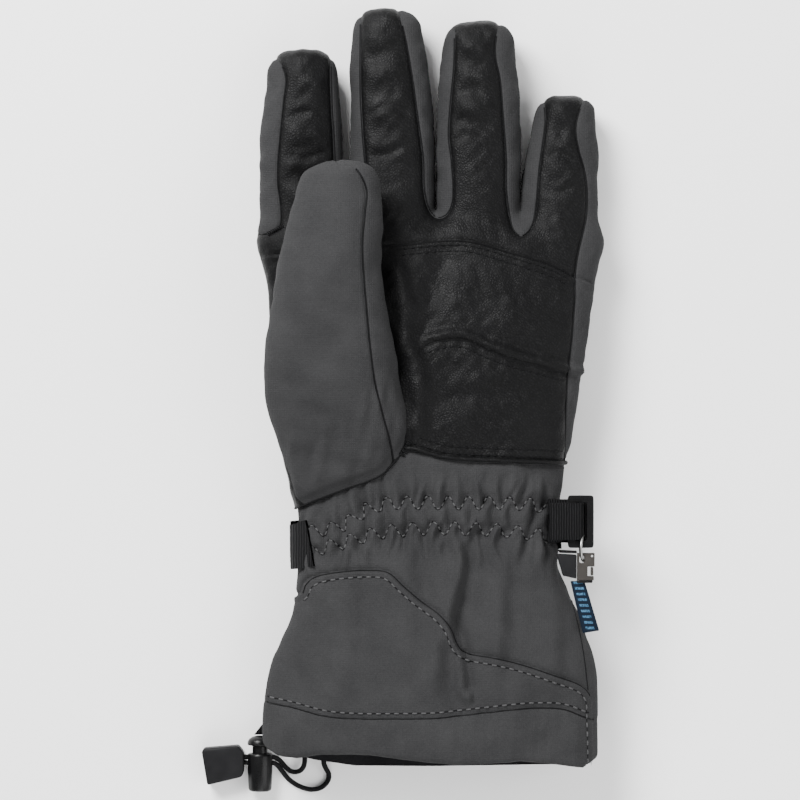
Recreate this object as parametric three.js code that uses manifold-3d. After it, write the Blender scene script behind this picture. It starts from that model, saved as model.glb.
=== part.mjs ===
// Left-hand insulated ski glove with a gauntlet cuff, lying on its back with the palm up.
// Millimetres. +X runs from the thumb side to the little finger side, +Y from the cuff to the
// fingertips, +Z up out of the palm. The origin is under the middle of the glove, on the table.
// Outside in, the hand is a sewn shell of leather and softshell, a layer of insulation and a
// fleece lining. The fingers bend at their middle joints and the thumb lifts off the palm.
import * as THREE from "three";
import { mergeVertices } from "three/addons/utils/BufferGeometryUtils.js";
import Module from "manifold-3d";

const wasm = await Module();
wasm.setup();

// ---- Driving dimensions ----
const GAP = 0.3; // between neighbouring pieces
const LENGTH = 298; // middle fingertip to cuff edge
const CUFF_HALF_WIDTH = 66;
const SHELL = 1.4; // leather or softshell
const INSULATION = 2.6;
const LINING = 1.0;
const BODY_SIDES = 16;
const DIGIT_SIDES = 10;
const MIDDLE_BEND = 70; // degrees that a finger bends at its middle joint
const FAR = 400; // longer than anything here, for cutting blocks
const CUFF_SPARE = 6; // how far the envelope runs past the cuff edge before it is trimmed

const LAYERS = {
  shell: [0, SHELL],
  insulation: [SHELL + GAP, SHELL + GAP + INSULATION],
  lining: [SHELL + INSULATION + 2 * GAP, SHELL + INSULATION + 2 * GAP + LINING],
};
const CUFF_EDGE = -LENGTH / 2;

// The palm, wrist and gauntlet, from the crotches of the fingers to the cuff edge.
// Each station is [y, left x, right x, lowest z, highest z, squareness].
const BODY_STATIONS = [
  [62, -65, 65, 1.5, 29, 3],
  [34, -63.5, 62.5, -1.5, 35, 2.8],
  [0, -59, 58.5, -1.5, 37.5, 2.6],
  [-28, -54.5, 53, 2.5, 38.5, 2.5],
  [-47, -52.8, 52.4, 4.6, 37.5, 2.4],
  [-66, -52.5, 53.4, 4.6, 38, 2.4],
  [-85, -52.5, 57.5, 1.5, 39, 2.4],
  [-105, -60.5, 63.5, -1.5, 40, 2.4],
  [-121, -65, CUFF_HALF_WIDTH, -1.5, 39.5, 2.4],
  [CUFF_EDGE, -CUFF_HALF_WIDTH, CUFF_HALF_WIDTH, -1.5, 38, 2.4],
];

// A finger: its stations run from inside the palm to its tip, each [y, middle x, half width,
// lowest z, highest z]. The hinge is the y of its middle joint.
const FINGERS = {
  index: {
    hinge: 95,
    stations: [
      [40, -48, 16, 2.5, 27],
      [70, -49.8, 16, 2, 27],
      [100, -50.7, 15.9, 1.5, 26],
      [118, -50.3, 14.2, 1.5, 24.5],
      [127, -49.8, 11.6, 3, 22.5],
      [132.4, -49.3, 7, 6.5, 19],
    ],
  },
  middle: {
    hinge: 102,
    stations: [
      [40, -14.5, 16.6, 2.5, 27.5],
      [75, -14.6, 16.4, 2, 27.5],
      [112, -15.3, 15.6, 1.5, 26.5],
      [134, -16.6, 14, 1.5, 24.5],
      [143, -17.4, 11.4, 3, 22.5],
      [LENGTH / 2, -17.4, 6.4, 6.5, 19],
    ],
  },
  ring: {
    hinge: 97,
    stations: [
      [40, 18.6, 15.9, 2.5, 27],
      [75, 18.8, 15.9, 2, 27],
      [110, 19.3, 15.8, 1.5, 26],
      [128, 19.3, 14.2, 1.5, 24.5],
      [138, 19.2, 11.6, 3, 22.5],
      [144.4, 19.4, 7, 6.5, 19],
    ],
  },
  little: {
    hinge: 84,
    stations: [
      [35, 49.5, 15.6, 2.5, 26],
      [68, 50.4, 15, 2, 25.5],
      [90, 51.6, 14.2, 1.5, 24.5],
      [103, 53, 12.6, 1.5, 23],
      [110, 53.9, 10, 3, 21],
      [114.9, 54.2, 6.4, 6, 18],
    ],
  },
};

// The thumb lies over the palm. Its seam to the hand runs from SEAM_RIGHT to SEAM_LEFT, and it
// lifts about that line.
const THUMB_STATIONS = [
  [-48, -30, 20, 9, 38],
  [-22, -36, 27, 13, 48],
  [0, -37.8, 26.5, 20, 56],
  [24, -38.6, 23.5, 27, 60],
  [46, -38.6, 20.4, 31.5, 61],
  [66, -36.2, 17.6, 33, 61],
  [80, -34.8, 14, 34.5, 59],
  [86.8, -34, 8.6, 38, 54.5],
];
const SEAM_RIGHT = new THREE.Vector2(-7, -22);
const SEAM_LEFT = new THREE.Vector2(-53, -45);
const THUMB_CLEARANCE = 0.5; // between the thumb and the palm under it

const HINGE_DEPTH = 6; // how far the finger hinges lie under the palm side

// ---- Materials ----
const finish = (color, roughness, metalness = 0) =>
  new THREE.MeshStandardMaterial({ color, roughness, metalness });
const SOFTSHELL = finish(0x4f4f51, 0.85);
const LEATHER = finish(0x29292b, 0.55);
const FLEECE = finish(0x1d1d1f, 0.95);
const WADDING = finish(0xd8d8d4, 0.95);
const TAFFETA = finish(0x17171a, 0.6);
const WEBBING = finish(0x151516, 0.8);
const CORD = finish(0x1a1a1b, 0.75);
const BLACK_PLASTIC = finish(0x121213, 0.4);
const GREY_PLASTIC = finish(0x575654, 0.45);
const STEEL = finish(0xb4b4b2, 0.3, 1);
const LABEL = finish(0x16283d, 0.8);

// ---- Making and cutting solids ----

/** A closed mesh geometry as a manifold solid. */
function solid(geometry) {
  const bare = geometry.clone();
  bare.deleteAttribute("normal");
  bare.deleteAttribute("uv");
  const merged = mergeVertices(bare, 1e-3);
  return new wasm.Manifold(
    new wasm.Mesh({
      numProp: 3,
      vertProperties: new Float32Array(merged.attributes.position.array),
      triVerts: new Uint32Array(merged.index.array),
    }),
  );
}

/** The rings of points as one closed geometry: capped at both ends, or joined into a loop. */
function skin(rings, loop = false) {
  const sides = rings[0].length;
  const points = rings.flat();
  const faces = [];
  const bands = loop ? rings.length : rings.length - 1;
  for (let band = 0; band < bands; band++) {
    const a = band * sides;
    const b = ((band + 1) % rings.length) * sides;
    for (let i = 0; i < sides; i++) {
      const j = (i + 1) % sides;
      faces.push(a + i, b + i, a + j, a + j, b + i, b + j);
    }
  }
  if (!loop) {
    const ends = [
      [0, false],
      [(rings.length - 1) * sides, true],
    ];
    for (const [start, last] of ends) {
      const middle = new THREE.Vector3();
      for (let i = 0; i < sides; i++) middle.add(points[start + i]);
      points.push(middle.divideScalar(sides));
      const centre = points.length - 1;
      for (let i = 0; i < sides; i++) {
        const j = start + ((i + 1) % sides);
        if (last) faces.push(centre, j, start + i);
        else faces.push(centre, start + i, j);
      }
    }
  }
  const geometry = new THREE.BufferGeometry().setFromPoints(points);
  geometry.setIndex(faces);
  return geometry;
}

/** A superellipse ring in the plane of constant y, flattened where it would go under the floor. */
function ring(y, middleX, halfX, middleZ, halfZ, squareness, sides, floor = -FAR) {
  const power = 2 / squareness;
  const bulge = (v) => Math.sign(v) * Math.abs(v) ** power;
  return Array.from({ length: sides }, (_, i) => {
    const angle = (2 * Math.PI * (i + 0.5)) / sides;
    const x = middleX + halfX * bulge(Math.cos(angle));
    const z = Math.max(middleZ + halfZ * bulge(Math.sin(angle)), floor);
    return new THREE.Vector3(x, y, z);
  });
}

/** The hand, wrist and gauntlet taken in by a depth. Its cuff end runs past the cuff edge. */
function bodyEnvelope(depth) {
  const last = BODY_STATIONS.length - 1;
  const rings = BODY_STATIONS.map(([y, left, right, low, high, squareness], i) => {
    const end = { 0: -depth, [last]: -CUFF_SPARE }[i] ?? 0;
    return ring(
      y + end, (left + right) / 2, (right - left) / 2 - depth,
      (low + high) / 2, (high - low) / 2 - depth, squareness, BODY_SIDES, depth,
    );
  });
  return solid(skin(rings.reverse()));
}

/** A finger or the thumb taken in by a depth. */
function digitEnvelope(stations, depth, squareness = 2.5) {
  const last = stations.length - 1;
  const rings = stations.map(([y, middle, half, low, high], i) =>
    ring(
      i === last ? y - depth : y, middle, Math.max(half - depth, 1.5),
      (low + high) / 2, Math.max((high - low) / 2 - depth, 1.5), squareness, DIGIT_SIDES,
    ),
  );
  return solid(skin(rings));
}

/** A block between two corners. */
function block(x0, y0, z0, x1, y1, z1) {
  const box = new THREE.BoxGeometry(x1 - x0, y1 - y0, z1 - z0);
  return solid(box.translate((x0 + x1) / 2, (y0 + y1) / 2, (z0 + z1) / 2));
}

/** An outline in x and y, extruded from one height to another. */
function prism(outline, low, high) {
  const shape = new THREE.Shape(outline.map(([x, y]) => new THREE.Vector2(x, y)));
  const made = new THREE.ExtrudeGeometry(shape, { depth: high - low, bevelEnabled: false });
  return solid(made.translate(0, 0, low));
}

/** The largest of a solid's separate bodies, without slivers. */
function largest(made) {
  const bodies = made.decompose().sort((a, b) => b.volume() - a.volume());
  return bodies[0];
}

const glove = new THREE.Group();

/** Adds a solid or a geometry to the glove as a named piece. */
function piece(name, made, material) {
  let geometry = made;
  if (!made.isBufferGeometry) {
    const { vertProperties, triVerts, numProp } = largest(made).getMesh();
    geometry = new THREE.BufferGeometry();
    geometry.setAttribute("position", new THREE.BufferAttribute(vertProperties, numProp));
    geometry.setIndex(new THREE.BufferAttribute(triVerts, 1));
  }
  geometry.computeVertexNormals();
  const mesh = new THREE.Mesh(geometry, material);
  mesh.name = name;
  glove.add(mesh);
  return mesh;
}

/** A tube along a curve, as a cord or a thin wire. */
function tube(curve, diameter, sides, steps) {
  const circle = new THREE.Shape();
  for (let i = 0; i < sides; i++) {
    const angle = (2 * Math.PI * i) / sides;
    const at = [(diameter / 2) * Math.cos(angle), (diameter / 2) * Math.sin(angle)];
    if (i) circle.lineTo(...at);
    else circle.moveTo(...at);
  }
  return new THREE.ExtrudeGeometry(circle, { steps, extrudePath: curve, curveSegments: 1 });
}

/** A smooth curve through [x, y, z] points. */
function through(points) {
  return new THREE.CatmullRomCurve3(points.map((p) => new THREE.Vector3(...p)), false, "centripetal");
}

// ---- The hand envelope and its layers ----

/** The hand with its fingers, taken in by a depth. */
function handEnvelope(depth) {
  let made = bodyEnvelope(depth);
  for (const finger of Object.values(FINGERS)) {
    made = made.add(digitEnvelope(finger.stations, depth));
  }
  return made;
}

/** One layer: the envelope at its outer depth less the envelope at its inner depth. */
function layerOf(envelope, [outer, inner]) {
  return envelope(outer).subtract(envelope(inner));
}

/** The wedge of a finger beyond its middle joint. It leans back on the palm side to let it bend. */
function beyondHinge(finger, side) {
  const axisZ = hingeHeight(finger);
  const lean = Math.tan(THREE.MathUtils.degToRad(MIDDLE_BEND / 2 + 2));
  const y = finger.hinge + (side * GAP) / 2;
  const rise = 40;
  const profile = new THREE.Shape([
    new THREE.Vector2(y, -10),
    new THREE.Vector2(y, axisZ),
    new THREE.Vector2(y + side * lean * rise, axisZ + rise),
    new THREE.Vector2(FAR, axisZ + rise),
    new THREE.Vector2(FAR, -10),
  ]);
  const middle = finger.stations[2][1];
  const width = 2 * finger.stations[2][2] + 3;
  const made = new THREE.ExtrudeGeometry(profile, { depth: width, bevelEnabled: false });
  made.rotateX(Math.PI / 2);
  made.rotateZ(Math.PI / 2);
  return solid(made.translate(middle - width / 2, 0, 0));
}
/** The height of the hinge that a finger bends about. */
function hingeHeight(finger) {
  return finger.stations[2][4] - HINGE_DEPTH;
}

// ---- Regions that the panels are cut to ----

const SIDE_LOW = 11; // the softshell side strips lie between these heights
const SIDE_HIGH = 19.5;
const CUFF_SPLIT = 19; // where the front and back of the wrist and gauntlet meet
const HEM_WIDTH = 7;
const CORNER_RISE = 8; // how far the cuff edge rises at its thumb-side corner

const between = (low, high) => block(-FAR, low + GAP / 2, -FAR, FAR, high - GAP / 2, FAR);
const above = (z) => block(-FAR, -FAR, z + GAP / 2, FAR, FAR, FAR);
const below = (z) => block(-FAR, -FAR, -FAR, FAR, FAR, z - GAP / 2);
const sideBand = above(SIDE_LOW).intersect(below(SIDE_HIGH));

/** The y of the cuff edge at an x: straight, but rounded up at the thumb-side corner. */
function cuffEdgeY(x) {
  const corner = Math.max(0, (-x - 30) / 36);
  return CUFF_EDGE + CORNER_RISE * corner ** 4;
}

/** Everything past the cuff edge moved in by an inset. */
function pastCuffEdge(inset) {
  const outline = [];
  for (let x = -80; x <= 80; x += 8) outline.push([x, cuffEdgeY(x) + inset]);
  outline.push([80, -200], [-80, -200]);
  return prism(outline.reverse(), -20, 100);
}

// ---- Hand ----

const SEAM_Y = { overlayTop: 52, overlayBottom: 14, wrist: -28, gauntlet: -85 };
const PIPING = 2;

const thumbPassage = prism(
  Array.from({ length: 12 }, (_, i) => {
    const angle = (2 * Math.PI * i) / 12;
    return [-32 + 16 * Math.cos(angle) - 3 * Math.sin(angle), -6 + 9 * Math.sin(angle) + 6 * Math.cos(angle)];
  }),
  20, 52,
);

/** A layer of the hand, cut off at the middle joints of the fingers. */
function handLayer(layer) {
  let made = layerOf(handEnvelope, layer).subtract(thumbPassage);
  for (const finger of Object.values(FINGERS)) {
    made = made.subtract(beyondHinge(finger, -1));
  }
  return made;
}

const handShell = handLayer(LAYERS.shell);
const front = handShell.intersect(above(SIDE_HIGH));
piece("palm_leather", front.intersect(between(SEAM_Y.overlayTop, FAR)), LEATHER);
piece("palm_overlay", front.intersect(between(SEAM_Y.overlayBottom, SEAM_Y.overlayTop)), LEATHER);
piece("palm_heel", front.intersect(between(SEAM_Y.wrist + PIPING / 2, SEAM_Y.overlayBottom)), LEATHER);
piece("back_panel", handShell.intersect(below(SIDE_LOW)).intersect(between(SEAM_Y.wrist, FAR)), SOFTSHELL);

const sideStrips = handShell.intersect(sideBand).intersect(between(SEAM_Y.wrist, FAR)).decompose();
const middleOf = (made) => (made.boundingBox().min[0] + made.boundingBox().max[0]) / 2;
sideStrips.sort((a, b) => middleOf(a) - middleOf(b));
const [indexSide, indexMiddle, middleRing, ringLittle, littleSide] = sideStrips;
const GUSSET_TOP = 34;
piece("thumb_gusset", indexSide.intersect(between(-FAR, GUSSET_TOP)), LEATHER);
piece("index_side_panel", indexSide.intersect(between(GUSSET_TOP, FAR)), SOFTSHELL);
piece("fourchette_index_middle", indexMiddle, SOFTSHELL);
piece("fourchette_middle_ring", middleRing, SOFTSHELL);
piece("fourchette_ring_little", ringLittle, SOFTSHELL);
piece("little_side_panel", littleSide, SOFTSHELL);

const ELASTIC_Y = [-62, -50];
const elasticRoom = between(...ELASTIC_Y).intersect(above(CUFF_SPLIT));
const aboveGauntlet = between(SEAM_Y.gauntlet, FAR);
piece("hand_insulation", handLayer(LAYERS.insulation).intersect(aboveGauntlet).subtract(
  block(-FAR, ELASTIC_Y[0] - GAP, CUFF_SPLIT - GAP, FAR, ELASTIC_Y[1] + GAP, FAR)), WADDING);
piece("hand_lining", handLayer(LAYERS.lining).intersect(aboveGauntlet), FLEECE);

for (const [name, finger] of Object.entries(FINGERS)) {
  const tip = (layer) =>
    layerOf((depth) => digitEnvelope(finger.stations, depth), layer).intersect(beyondHinge(finger, 1));
  const shell = tip(LAYERS.shell);
  piece(`${name}_tip_leather`, shell.intersect(above(SIDE_HIGH)), LEATHER);
  piece(`${name}_tip_fourchette`, shell.intersect(sideBand), SOFTSHELL);
  piece(`${name}_tip_back`, shell.intersect(below(SIDE_LOW)), SOFTSHELL);
  piece(`${name}_tip_liner`, tip([LAYERS.insulation[0], LAYERS.lining[1]]), FLEECE);
}

// ---- Thumb ----

/** The thumb taken in by a depth. Its underside follows the palm that it lies on. */
function thumbSolid(depth) {
  return digitEnvelope(THUMB_STATIONS, depth, 2.4).subtract(bodyEnvelope(-THUMB_CLEARANCE - depth));
}

const seamDirection = SEAM_RIGHT.clone().sub(SEAM_LEFT).normalize();
const seamNormal = new THREE.Vector2(-seamDirection.y, seamDirection.x);
const alongSeam = (along, across) => {
  const at = SEAM_LEFT.clone().addScaledVector(seamDirection, along).addScaledVector(seamNormal, across);
  return [at.x, at.y];
};
const pastSeam = prism(
  [alongSeam(-FAR, GAP), alongSeam(FAR, GAP), alongSeam(FAR, FAR), alongSeam(-FAR, FAR)], -20, 100,
);
const STRIP_TOP = [-24, 90];
const STRIP_BOTTOM = [-16, -40];
const stripRegion = prism([STRIP_BOTTOM, [60, -40], [60, 90], STRIP_TOP], -20, 100);
const mainRegion = prism(
  [[-100, -60], [STRIP_BOTTOM[0] - GAP, -60], [STRIP_BOTTOM[0] - GAP, -40],
    [STRIP_TOP[0] - GAP, 90], [-100, 90]],
  -20, 100,
);
// The top and the underside of the thumb part on a plane that climbs towards its tip.
function alongX(outline) {
  const shape = new THREE.Shape(outline.map(([y, z]) => new THREE.Vector2(y, z)));
  const made = new THREE.ExtrudeGeometry(shape, { depth: 2 * FAR, bevelEnabled: false });
  return solid(made.rotateX(Math.PI / 2).rotateZ(Math.PI / 2).translate(-FAR, 0, 0));
}
const thumbTop = alongX([[-60, 30.5], [90, 48], [90, 100], [-60, 100]]);
const thumbUnder = alongX([[-60, 30.5 - GAP], [-60, -50], [90, -50], [90, 48 - GAP]]);
const thumbDoor = thumbPassage.intersect(digitEnvelope(THUMB_STATIONS, LAYERS.lining[1] + 0.4, 2.4));
const thumbLayer = (layer) => layerOf(thumbSolid, layer).subtract(thumbDoor).intersect(pastSeam);
const thumbShell = thumbLayer(LAYERS.shell);
piece("thumb_front", thumbShell.intersect(mainRegion).intersect(thumbTop), SOFTSHELL);
piece("thumb_side_strip", thumbShell.intersect(stripRegion).intersect(thumbTop), SOFTSHELL);
piece("thumb_underside", thumbShell.intersect(thumbUnder), LEATHER);
piece("thumb_liner", thumbLayer([LAYERS.insulation[0], LAYERS.lining[1]]), FLEECE);

// ---- Wrist and gauntlet ----

const bodyShell = layerOf(bodyEnvelope, LAYERS.shell);
const wristShell = bodyShell.intersect(between(SEAM_Y.gauntlet, SEAM_Y.wrist));
piece("wrist_piping", layerOf(bodyEnvelope, [-0.8, SHELL])
  .intersect(between(SEAM_Y.wrist - PIPING / 2, SEAM_Y.wrist + PIPING / 2))
  .intersect(above(SIDE_HIGH)).subtract(digitEnvelope(THUMB_STATIONS, -THUMB_CLEARANCE, 2.4)), LEATHER);
piece("wrist_front", wristShell.intersect(above(CUFF_SPLIT))
  .intersect(between(-FAR, SEAM_Y.wrist - PIPING / 2)), SOFTSHELL);
piece("wrist_back", wristShell.intersect(below(CUFF_SPLIT)), SOFTSHELL);
piece("wrist_elastic", layerOf(bodyEnvelope, [LAYERS.insulation[0], LAYERS.insulation[0] + 1.2])
  .intersect(elasticRoom), WEBBING);

const gauntletShell = bodyShell.intersect(between(-FAR, SEAM_Y.gauntlet)).subtract(pastCuffEdge(HEM_WIDTH));
const gauntletFront = gauntletShell.intersect(above(CUFF_SPLIT));
const overlaySeam = [
  [-90, -95], [-46, -92], [-30, -88], [-12, -88], [4, -92], [14, -101], [34, -106], [56, -114], [90, -128],
];
const overlayRegion = prism([...overlaySeam, [90, -200], [-90, -200]].reverse(), -20, 100);
const frontRegion = prism([...overlaySeam.map(([x, y]) => [x, y + GAP]), [90, 0], [-90, 0]], -20, 100);
piece("gauntlet_front", gauntletFront.intersect(frontRegion), SOFTSHELL);
piece("gauntlet_overlay", gauntletFront.intersect(overlayRegion), SOFTSHELL);
piece("gauntlet_back", gauntletShell.intersect(below(CUFF_SPLIT)), SOFTSHELL);
piece("gauntlet_lining", layerOf(bodyEnvelope, [SHELL + GAP, SHELL + GAP + LINING])
  .intersect(between(-FAR, SEAM_Y.gauntlet)).subtract(pastCuffEdge(HEM_WIDTH)), TAFFETA);

const HEM_DEPTH = 4.4;
const CORD_DIAMETER = 2;
const TUNNEL_RADIUS = 1.5;
const HEM_EXITS = [-49.5, -42];

/** The points of the hem tunnel around the cuff. */
function tunnelPath() {
  const [, left, right, low, high, squareness] = BODY_STATIONS.at(-1);
  const depth = HEM_DEPTH / 2;
  const around = ring(
    0, (left + right) / 2, (right - left) / 2 - depth,
    (low + high) / 2, (high - low) / 2 - depth, squareness, 32, depth,
  );
  for (const point of around) point.y = cuffEdgeY(point.x) + HEM_WIDTH / 2;
  return around;
}

/** A closed loop of cord through points around the cuff. */
function cuffLoop(radius, sides) {
  const path = tunnelPath();
  const across = new THREE.Vector3(0, 1, 0);
  const rings = path.map((point, i) => {
    const along = path[(i + 1) % path.length].clone().sub(path.at(i - 1)).normalize();
    const out = along.clone().cross(across).normalize();
    return Array.from({ length: sides }, (_, k) => {
      const angle = (2 * Math.PI * k) / sides;
      return point.clone()
        .addScaledVector(across, -radius * Math.cos(angle))
        .addScaledVector(out, radius * Math.sin(angle));
    });
  });
  return skin(rings, true);
}

const hemTunnel = solid(cuffLoop(TUNNEL_RADIUS, 6));
const EXIT_HEIGHTS = [5.6, 3.8];
const hemExits = HEM_EXITS.map((x, i) => {
  const hole = new THREE.CylinderGeometry(TUNNEL_RADIUS, TUNNEL_RADIUS, 16, 10);
  return solid(hole.translate(x, cuffEdgeY(x) - 4.5, EXIT_HEIGHTS[i]));
});
piece("hem_binding", layerOf(bodyEnvelope, [0, HEM_DEPTH])
  .intersect(pastCuffEdge(HEM_WIDTH - GAP)).subtract(pastCuffEdge(0))
  .subtract(hemTunnel).subtract(hemExits[0]).subtract(hemExits[1]), SOFTSHELL);
piece("hem_cord", cuffLoop(CORD_DIAMETER / 2, 6), CORD);

// ---- Wrist strap, buckle, clip and label ----

const HARDWARE_Z = 33.5;
const strapBand = prism([[-70, -70.5], [70, -62], [70, -44.5], [-70, -53.5]], -20, 100);
const strapLayer = layerOf(bodyEnvelope, [-2.2, -0.4]).intersect(strapBand);
const STRAP_TOP = 24;
piece("wrist_strap", strapLayer.intersect(below(STRAP_TOP)), WEBBING);
piece("strap_anchor", strapLayer.intersect(above(STRAP_TOP))
  .intersect(block(-FAR, -FAR, -FAR, -45, FAR, FAR)), WEBBING);

const BUCKLE = { left: 53.6, right: 63.6, bottom: -62.4, top: -42, bar: 2.6, thickness: 3 };
const barX = BUCKLE.left + BUCKLE.bar / 2;
const BAR_ROOM = 2.15; // lets the bar turn in the webbing

/** An outline in x and y with holes, extruded about a middle height. */
function plate(outline, holes, thickness, middleZ) {
  const toPath = (points, Kind) => new Kind(points.map(([x, y]) => new THREE.Vector2(x, y)));
  const shape = toPath(outline, THREE.Shape);
  shape.holes = holes.map((hole) => toPath(hole, THREE.Path));
  const made = new THREE.ExtrudeGeometry(shape, { depth: thickness, bevelEnabled: false });
  return made.translate(0, 0, middleZ - thickness / 2);
}

const { left, right, bottom, top, bar } = BUCKLE;
const rectangle = (x0, y0, x1, y1) => [[x0, y0], [x1, y0], [x1, y1], [x0, y1]];
piece("buckle", plate(
  rectangle(left, bottom, right, top), [rectangle(left + bar, bottom + bar, right - bar, top - bar)],
  BUCKLE.thickness, HARDWARE_Z,
), BLACK_PLASTIC);

// The webbing runs off the wrist, round the buckle's near bar and back.
const WEBBING_Y = [BUCKLE.bottom + BUCKLE.bar + 0.6, BUCKLE.top - BUCKLE.bar - 0.6];
const loopOutline = [];
for (let degrees = -90; degrees <= 90; degrees += 30) {
  const angle = THREE.MathUtils.degToRad(degrees);
  loopOutline.push([barX + 4.2 * Math.cos(angle) - 1, HARDWARE_Z + 3.8 * Math.sin(angle)]);
}
const loopShape = new THREE.Shape(
  [...loopOutline, [45.5, HARDWARE_Z + 3.2], [45.5, HARDWARE_Z - 8]].map(([x, z]) => new THREE.Vector2(x, z)));
loopShape.holes = [new THREE.Path(
  rectangle(barX - BAR_ROOM, HARDWARE_Z - BAR_ROOM, barX + BAR_ROOM, HARDWARE_Z + BAR_ROOM)
    .map(([x, z]) => new THREE.Vector2(x, z)))];
const loopLength = WEBBING_Y[1] - WEBBING_Y[0];
const loopGeometry = new THREE.ExtrudeGeometry(loopShape, { depth: loopLength, bevelEnabled: false });
loopGeometry.rotateX(Math.PI / 2).translate(0, WEBBING_Y[1], 0);
piece("buckle_loop", solid(loopGeometry).subtract(bodyEnvelope(-0.5)).subtract(
  layerOf(bodyEnvelope, [-2.6, -0.1]).intersect(below(STRAP_TOP + 0.6))), WEBBING);

const CLIP = { left: 57.2, right: 63.6, top: -64.4, bottom: -75, thickness: 4 };
const RING_X = 59;
const WIRE = 1.1;
const ringPath = new THREE.CatmullRomCurve3(
  Array.from({ length: 12 }, (_, i) => {
    const angle = (2 * Math.PI * i) / 12;
    return new THREE.Vector3(RING_X, -62.6 + 4.8 * Math.cos(angle), HARDWARE_Z + 3.4 * Math.sin(angle));
  }), true);
const ringRings = Array.from({ length: 16 }, (_, i) => {
  const at = ringPath.getPoint(i / 16);
  const out = new THREE.Vector3(0, at.y + 62.6, at.z - HARDWARE_Z).normalize();
  return Array.from({ length: 6 }, (_, k) => {
    const angle = (2 * Math.PI * k) / 6;
    return at.clone().addScaledVector(out, (WIRE / 2) * Math.cos(angle))
      .add(new THREE.Vector3((WIRE / 2) * Math.sin(angle), 0, 0));
  });
});
piece("clip_ring", skin(ringRings, true), STEEL);

const gateMouth = [
  [CLIP.right - 3.4, -69.4], [CLIP.right + 1, -69.4], [CLIP.right + 1, -73.6], [CLIP.right - 3.4, -73.6],
];
piece("clip_body", solid(plate(
  [[CLIP.left, CLIP.bottom], [CLIP.right, CLIP.bottom], [CLIP.right + 0.4, CLIP.top], [CLIP.left, CLIP.top]],
  [rectangle(RING_X - 1, -68.4, RING_X + 1, -65.3)], CLIP.thickness, HARDWARE_Z,
)).subtract(prism(gateMouth, 0, 60)), GREY_PLASTIC);
piece("clip_gate", plate(
  rectangle(CLIP.right - 1.2, -73.2, CLIP.right - 0.1, -69.8), [], 3, HARDWARE_Z), GREY_PLASTIC);
piece("clip_tab", solid(plate(
  [[52.4, -73], [CLIP.left - GAP, -74.4], [CLIP.left - GAP, -65], [49.6, -64.6]], [], 3.2, HARDWARE_Z,
)).subtract(bodyEnvelope(-0.6)), BLACK_PLASTIC);
piece("label", solid(plate(
  [[54.6, -75.3], [60, -75.3], [65.8, -94.6], [59.4, -95.6]], [], 1.6, HARDWARE_Z,
)).subtract(bodyEnvelope(-0.6)), LABEL);

// ---- Drawcord, cord lock and cord pull, lying on the table ----

const LOCK = { x: -67.2, z: 5.1, radius: 5, top: -145, bottom: -160, bore: 3.3 };
const PLUNGER_TRAVEL = 3;
const TOP_STRAND_Y = -146.4;
const SLOT = { low: -149.9, high: -145.2, halfHeight: 1.4 };

/** A solid turned about the cord lock's axis, from [radius, y] points that start and end on it. */
function turned(profile, segments) {
  const lathe = new THREE.LatheGeometry(profile.map(([r, y]) => new THREE.Vector2(r, y)), segments);
  return lathe.translate(LOCK.x, 0, LOCK.z);
}

const lockBlank = solid(turned(
  [[0, LOCK.bottom], [3.6, LOCK.bottom], [4.2, LOCK.bottom + 0.8], [LOCK.radius, LOCK.top - 1],
    [4.6, LOCK.top], [0, LOCK.top]], 16));
const lockBore = solid(turned(
  [[0, LOCK.bottom + 1.4], [LOCK.bore, LOCK.bottom + 1.4], [LOCK.bore, LOCK.top + 2],
    [0, LOCK.top + 2]], 12));
const slotThrough = block(
  LOCK.x - 12, SLOT.low, LOCK.z - SLOT.halfHeight, LOCK.x + 12, SLOT.high, LOCK.z + SLOT.halfHeight);
piece("cord_lock_body", lockBlank.subtract(lockBore).subtract(slotThrough), BLACK_PLASTIC);

const HEAD_BOTTOM = LOCK.top + PLUNGER_TRAVEL + 0.3;
const STEM_BOTTOM = LOCK.bottom + 8;
const plungerBlank = solid(turned(
  [[0, STEM_BOTTOM], [LOCK.bore - GAP, STEM_BOTTOM], [LOCK.bore - GAP, HEAD_BOTTOM], [5, HEAD_BOTTOM],
    [5, HEAD_BOTTOM + 1.4], [4, HEAD_BOTTOM + 2.9], [2, HEAD_BOTTOM + 3.6], [0, HEAD_BOTTOM + 3.8]], 14));
const stemSlot = block(
  LOCK.x - 12, SLOT.low, LOCK.z - SLOT.halfHeight,
  LOCK.x + 12, SLOT.high + PLUNGER_TRAVEL + 0.2, LOCK.z + SLOT.halfHeight);
piece("cord_lock_plunger", plungerBlank.subtract(stemSlot), BLACK_PLASTIC);

const SPRING = { low: LOCK.bottom + 1.8, high: STEM_BOTTOM - GAP, radius: 2.4, turns: 4 };
const springPath = through(Array.from({ length: SPRING.turns * 8 + 1 }, (_, i) => {
  const angle = (2 * Math.PI * i) / 8;
  const y = SPRING.low + 0.4 + ((SPRING.high - SPRING.low - 0.8) * i) / (SPRING.turns * 8);
  return [LOCK.x + SPRING.radius * Math.cos(angle), y, LOCK.z + SPRING.radius * Math.sin(angle)];
}));
piece("cord_lock_spring", tube(springPath, 0.7, 5, 30), STEEL);

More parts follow.
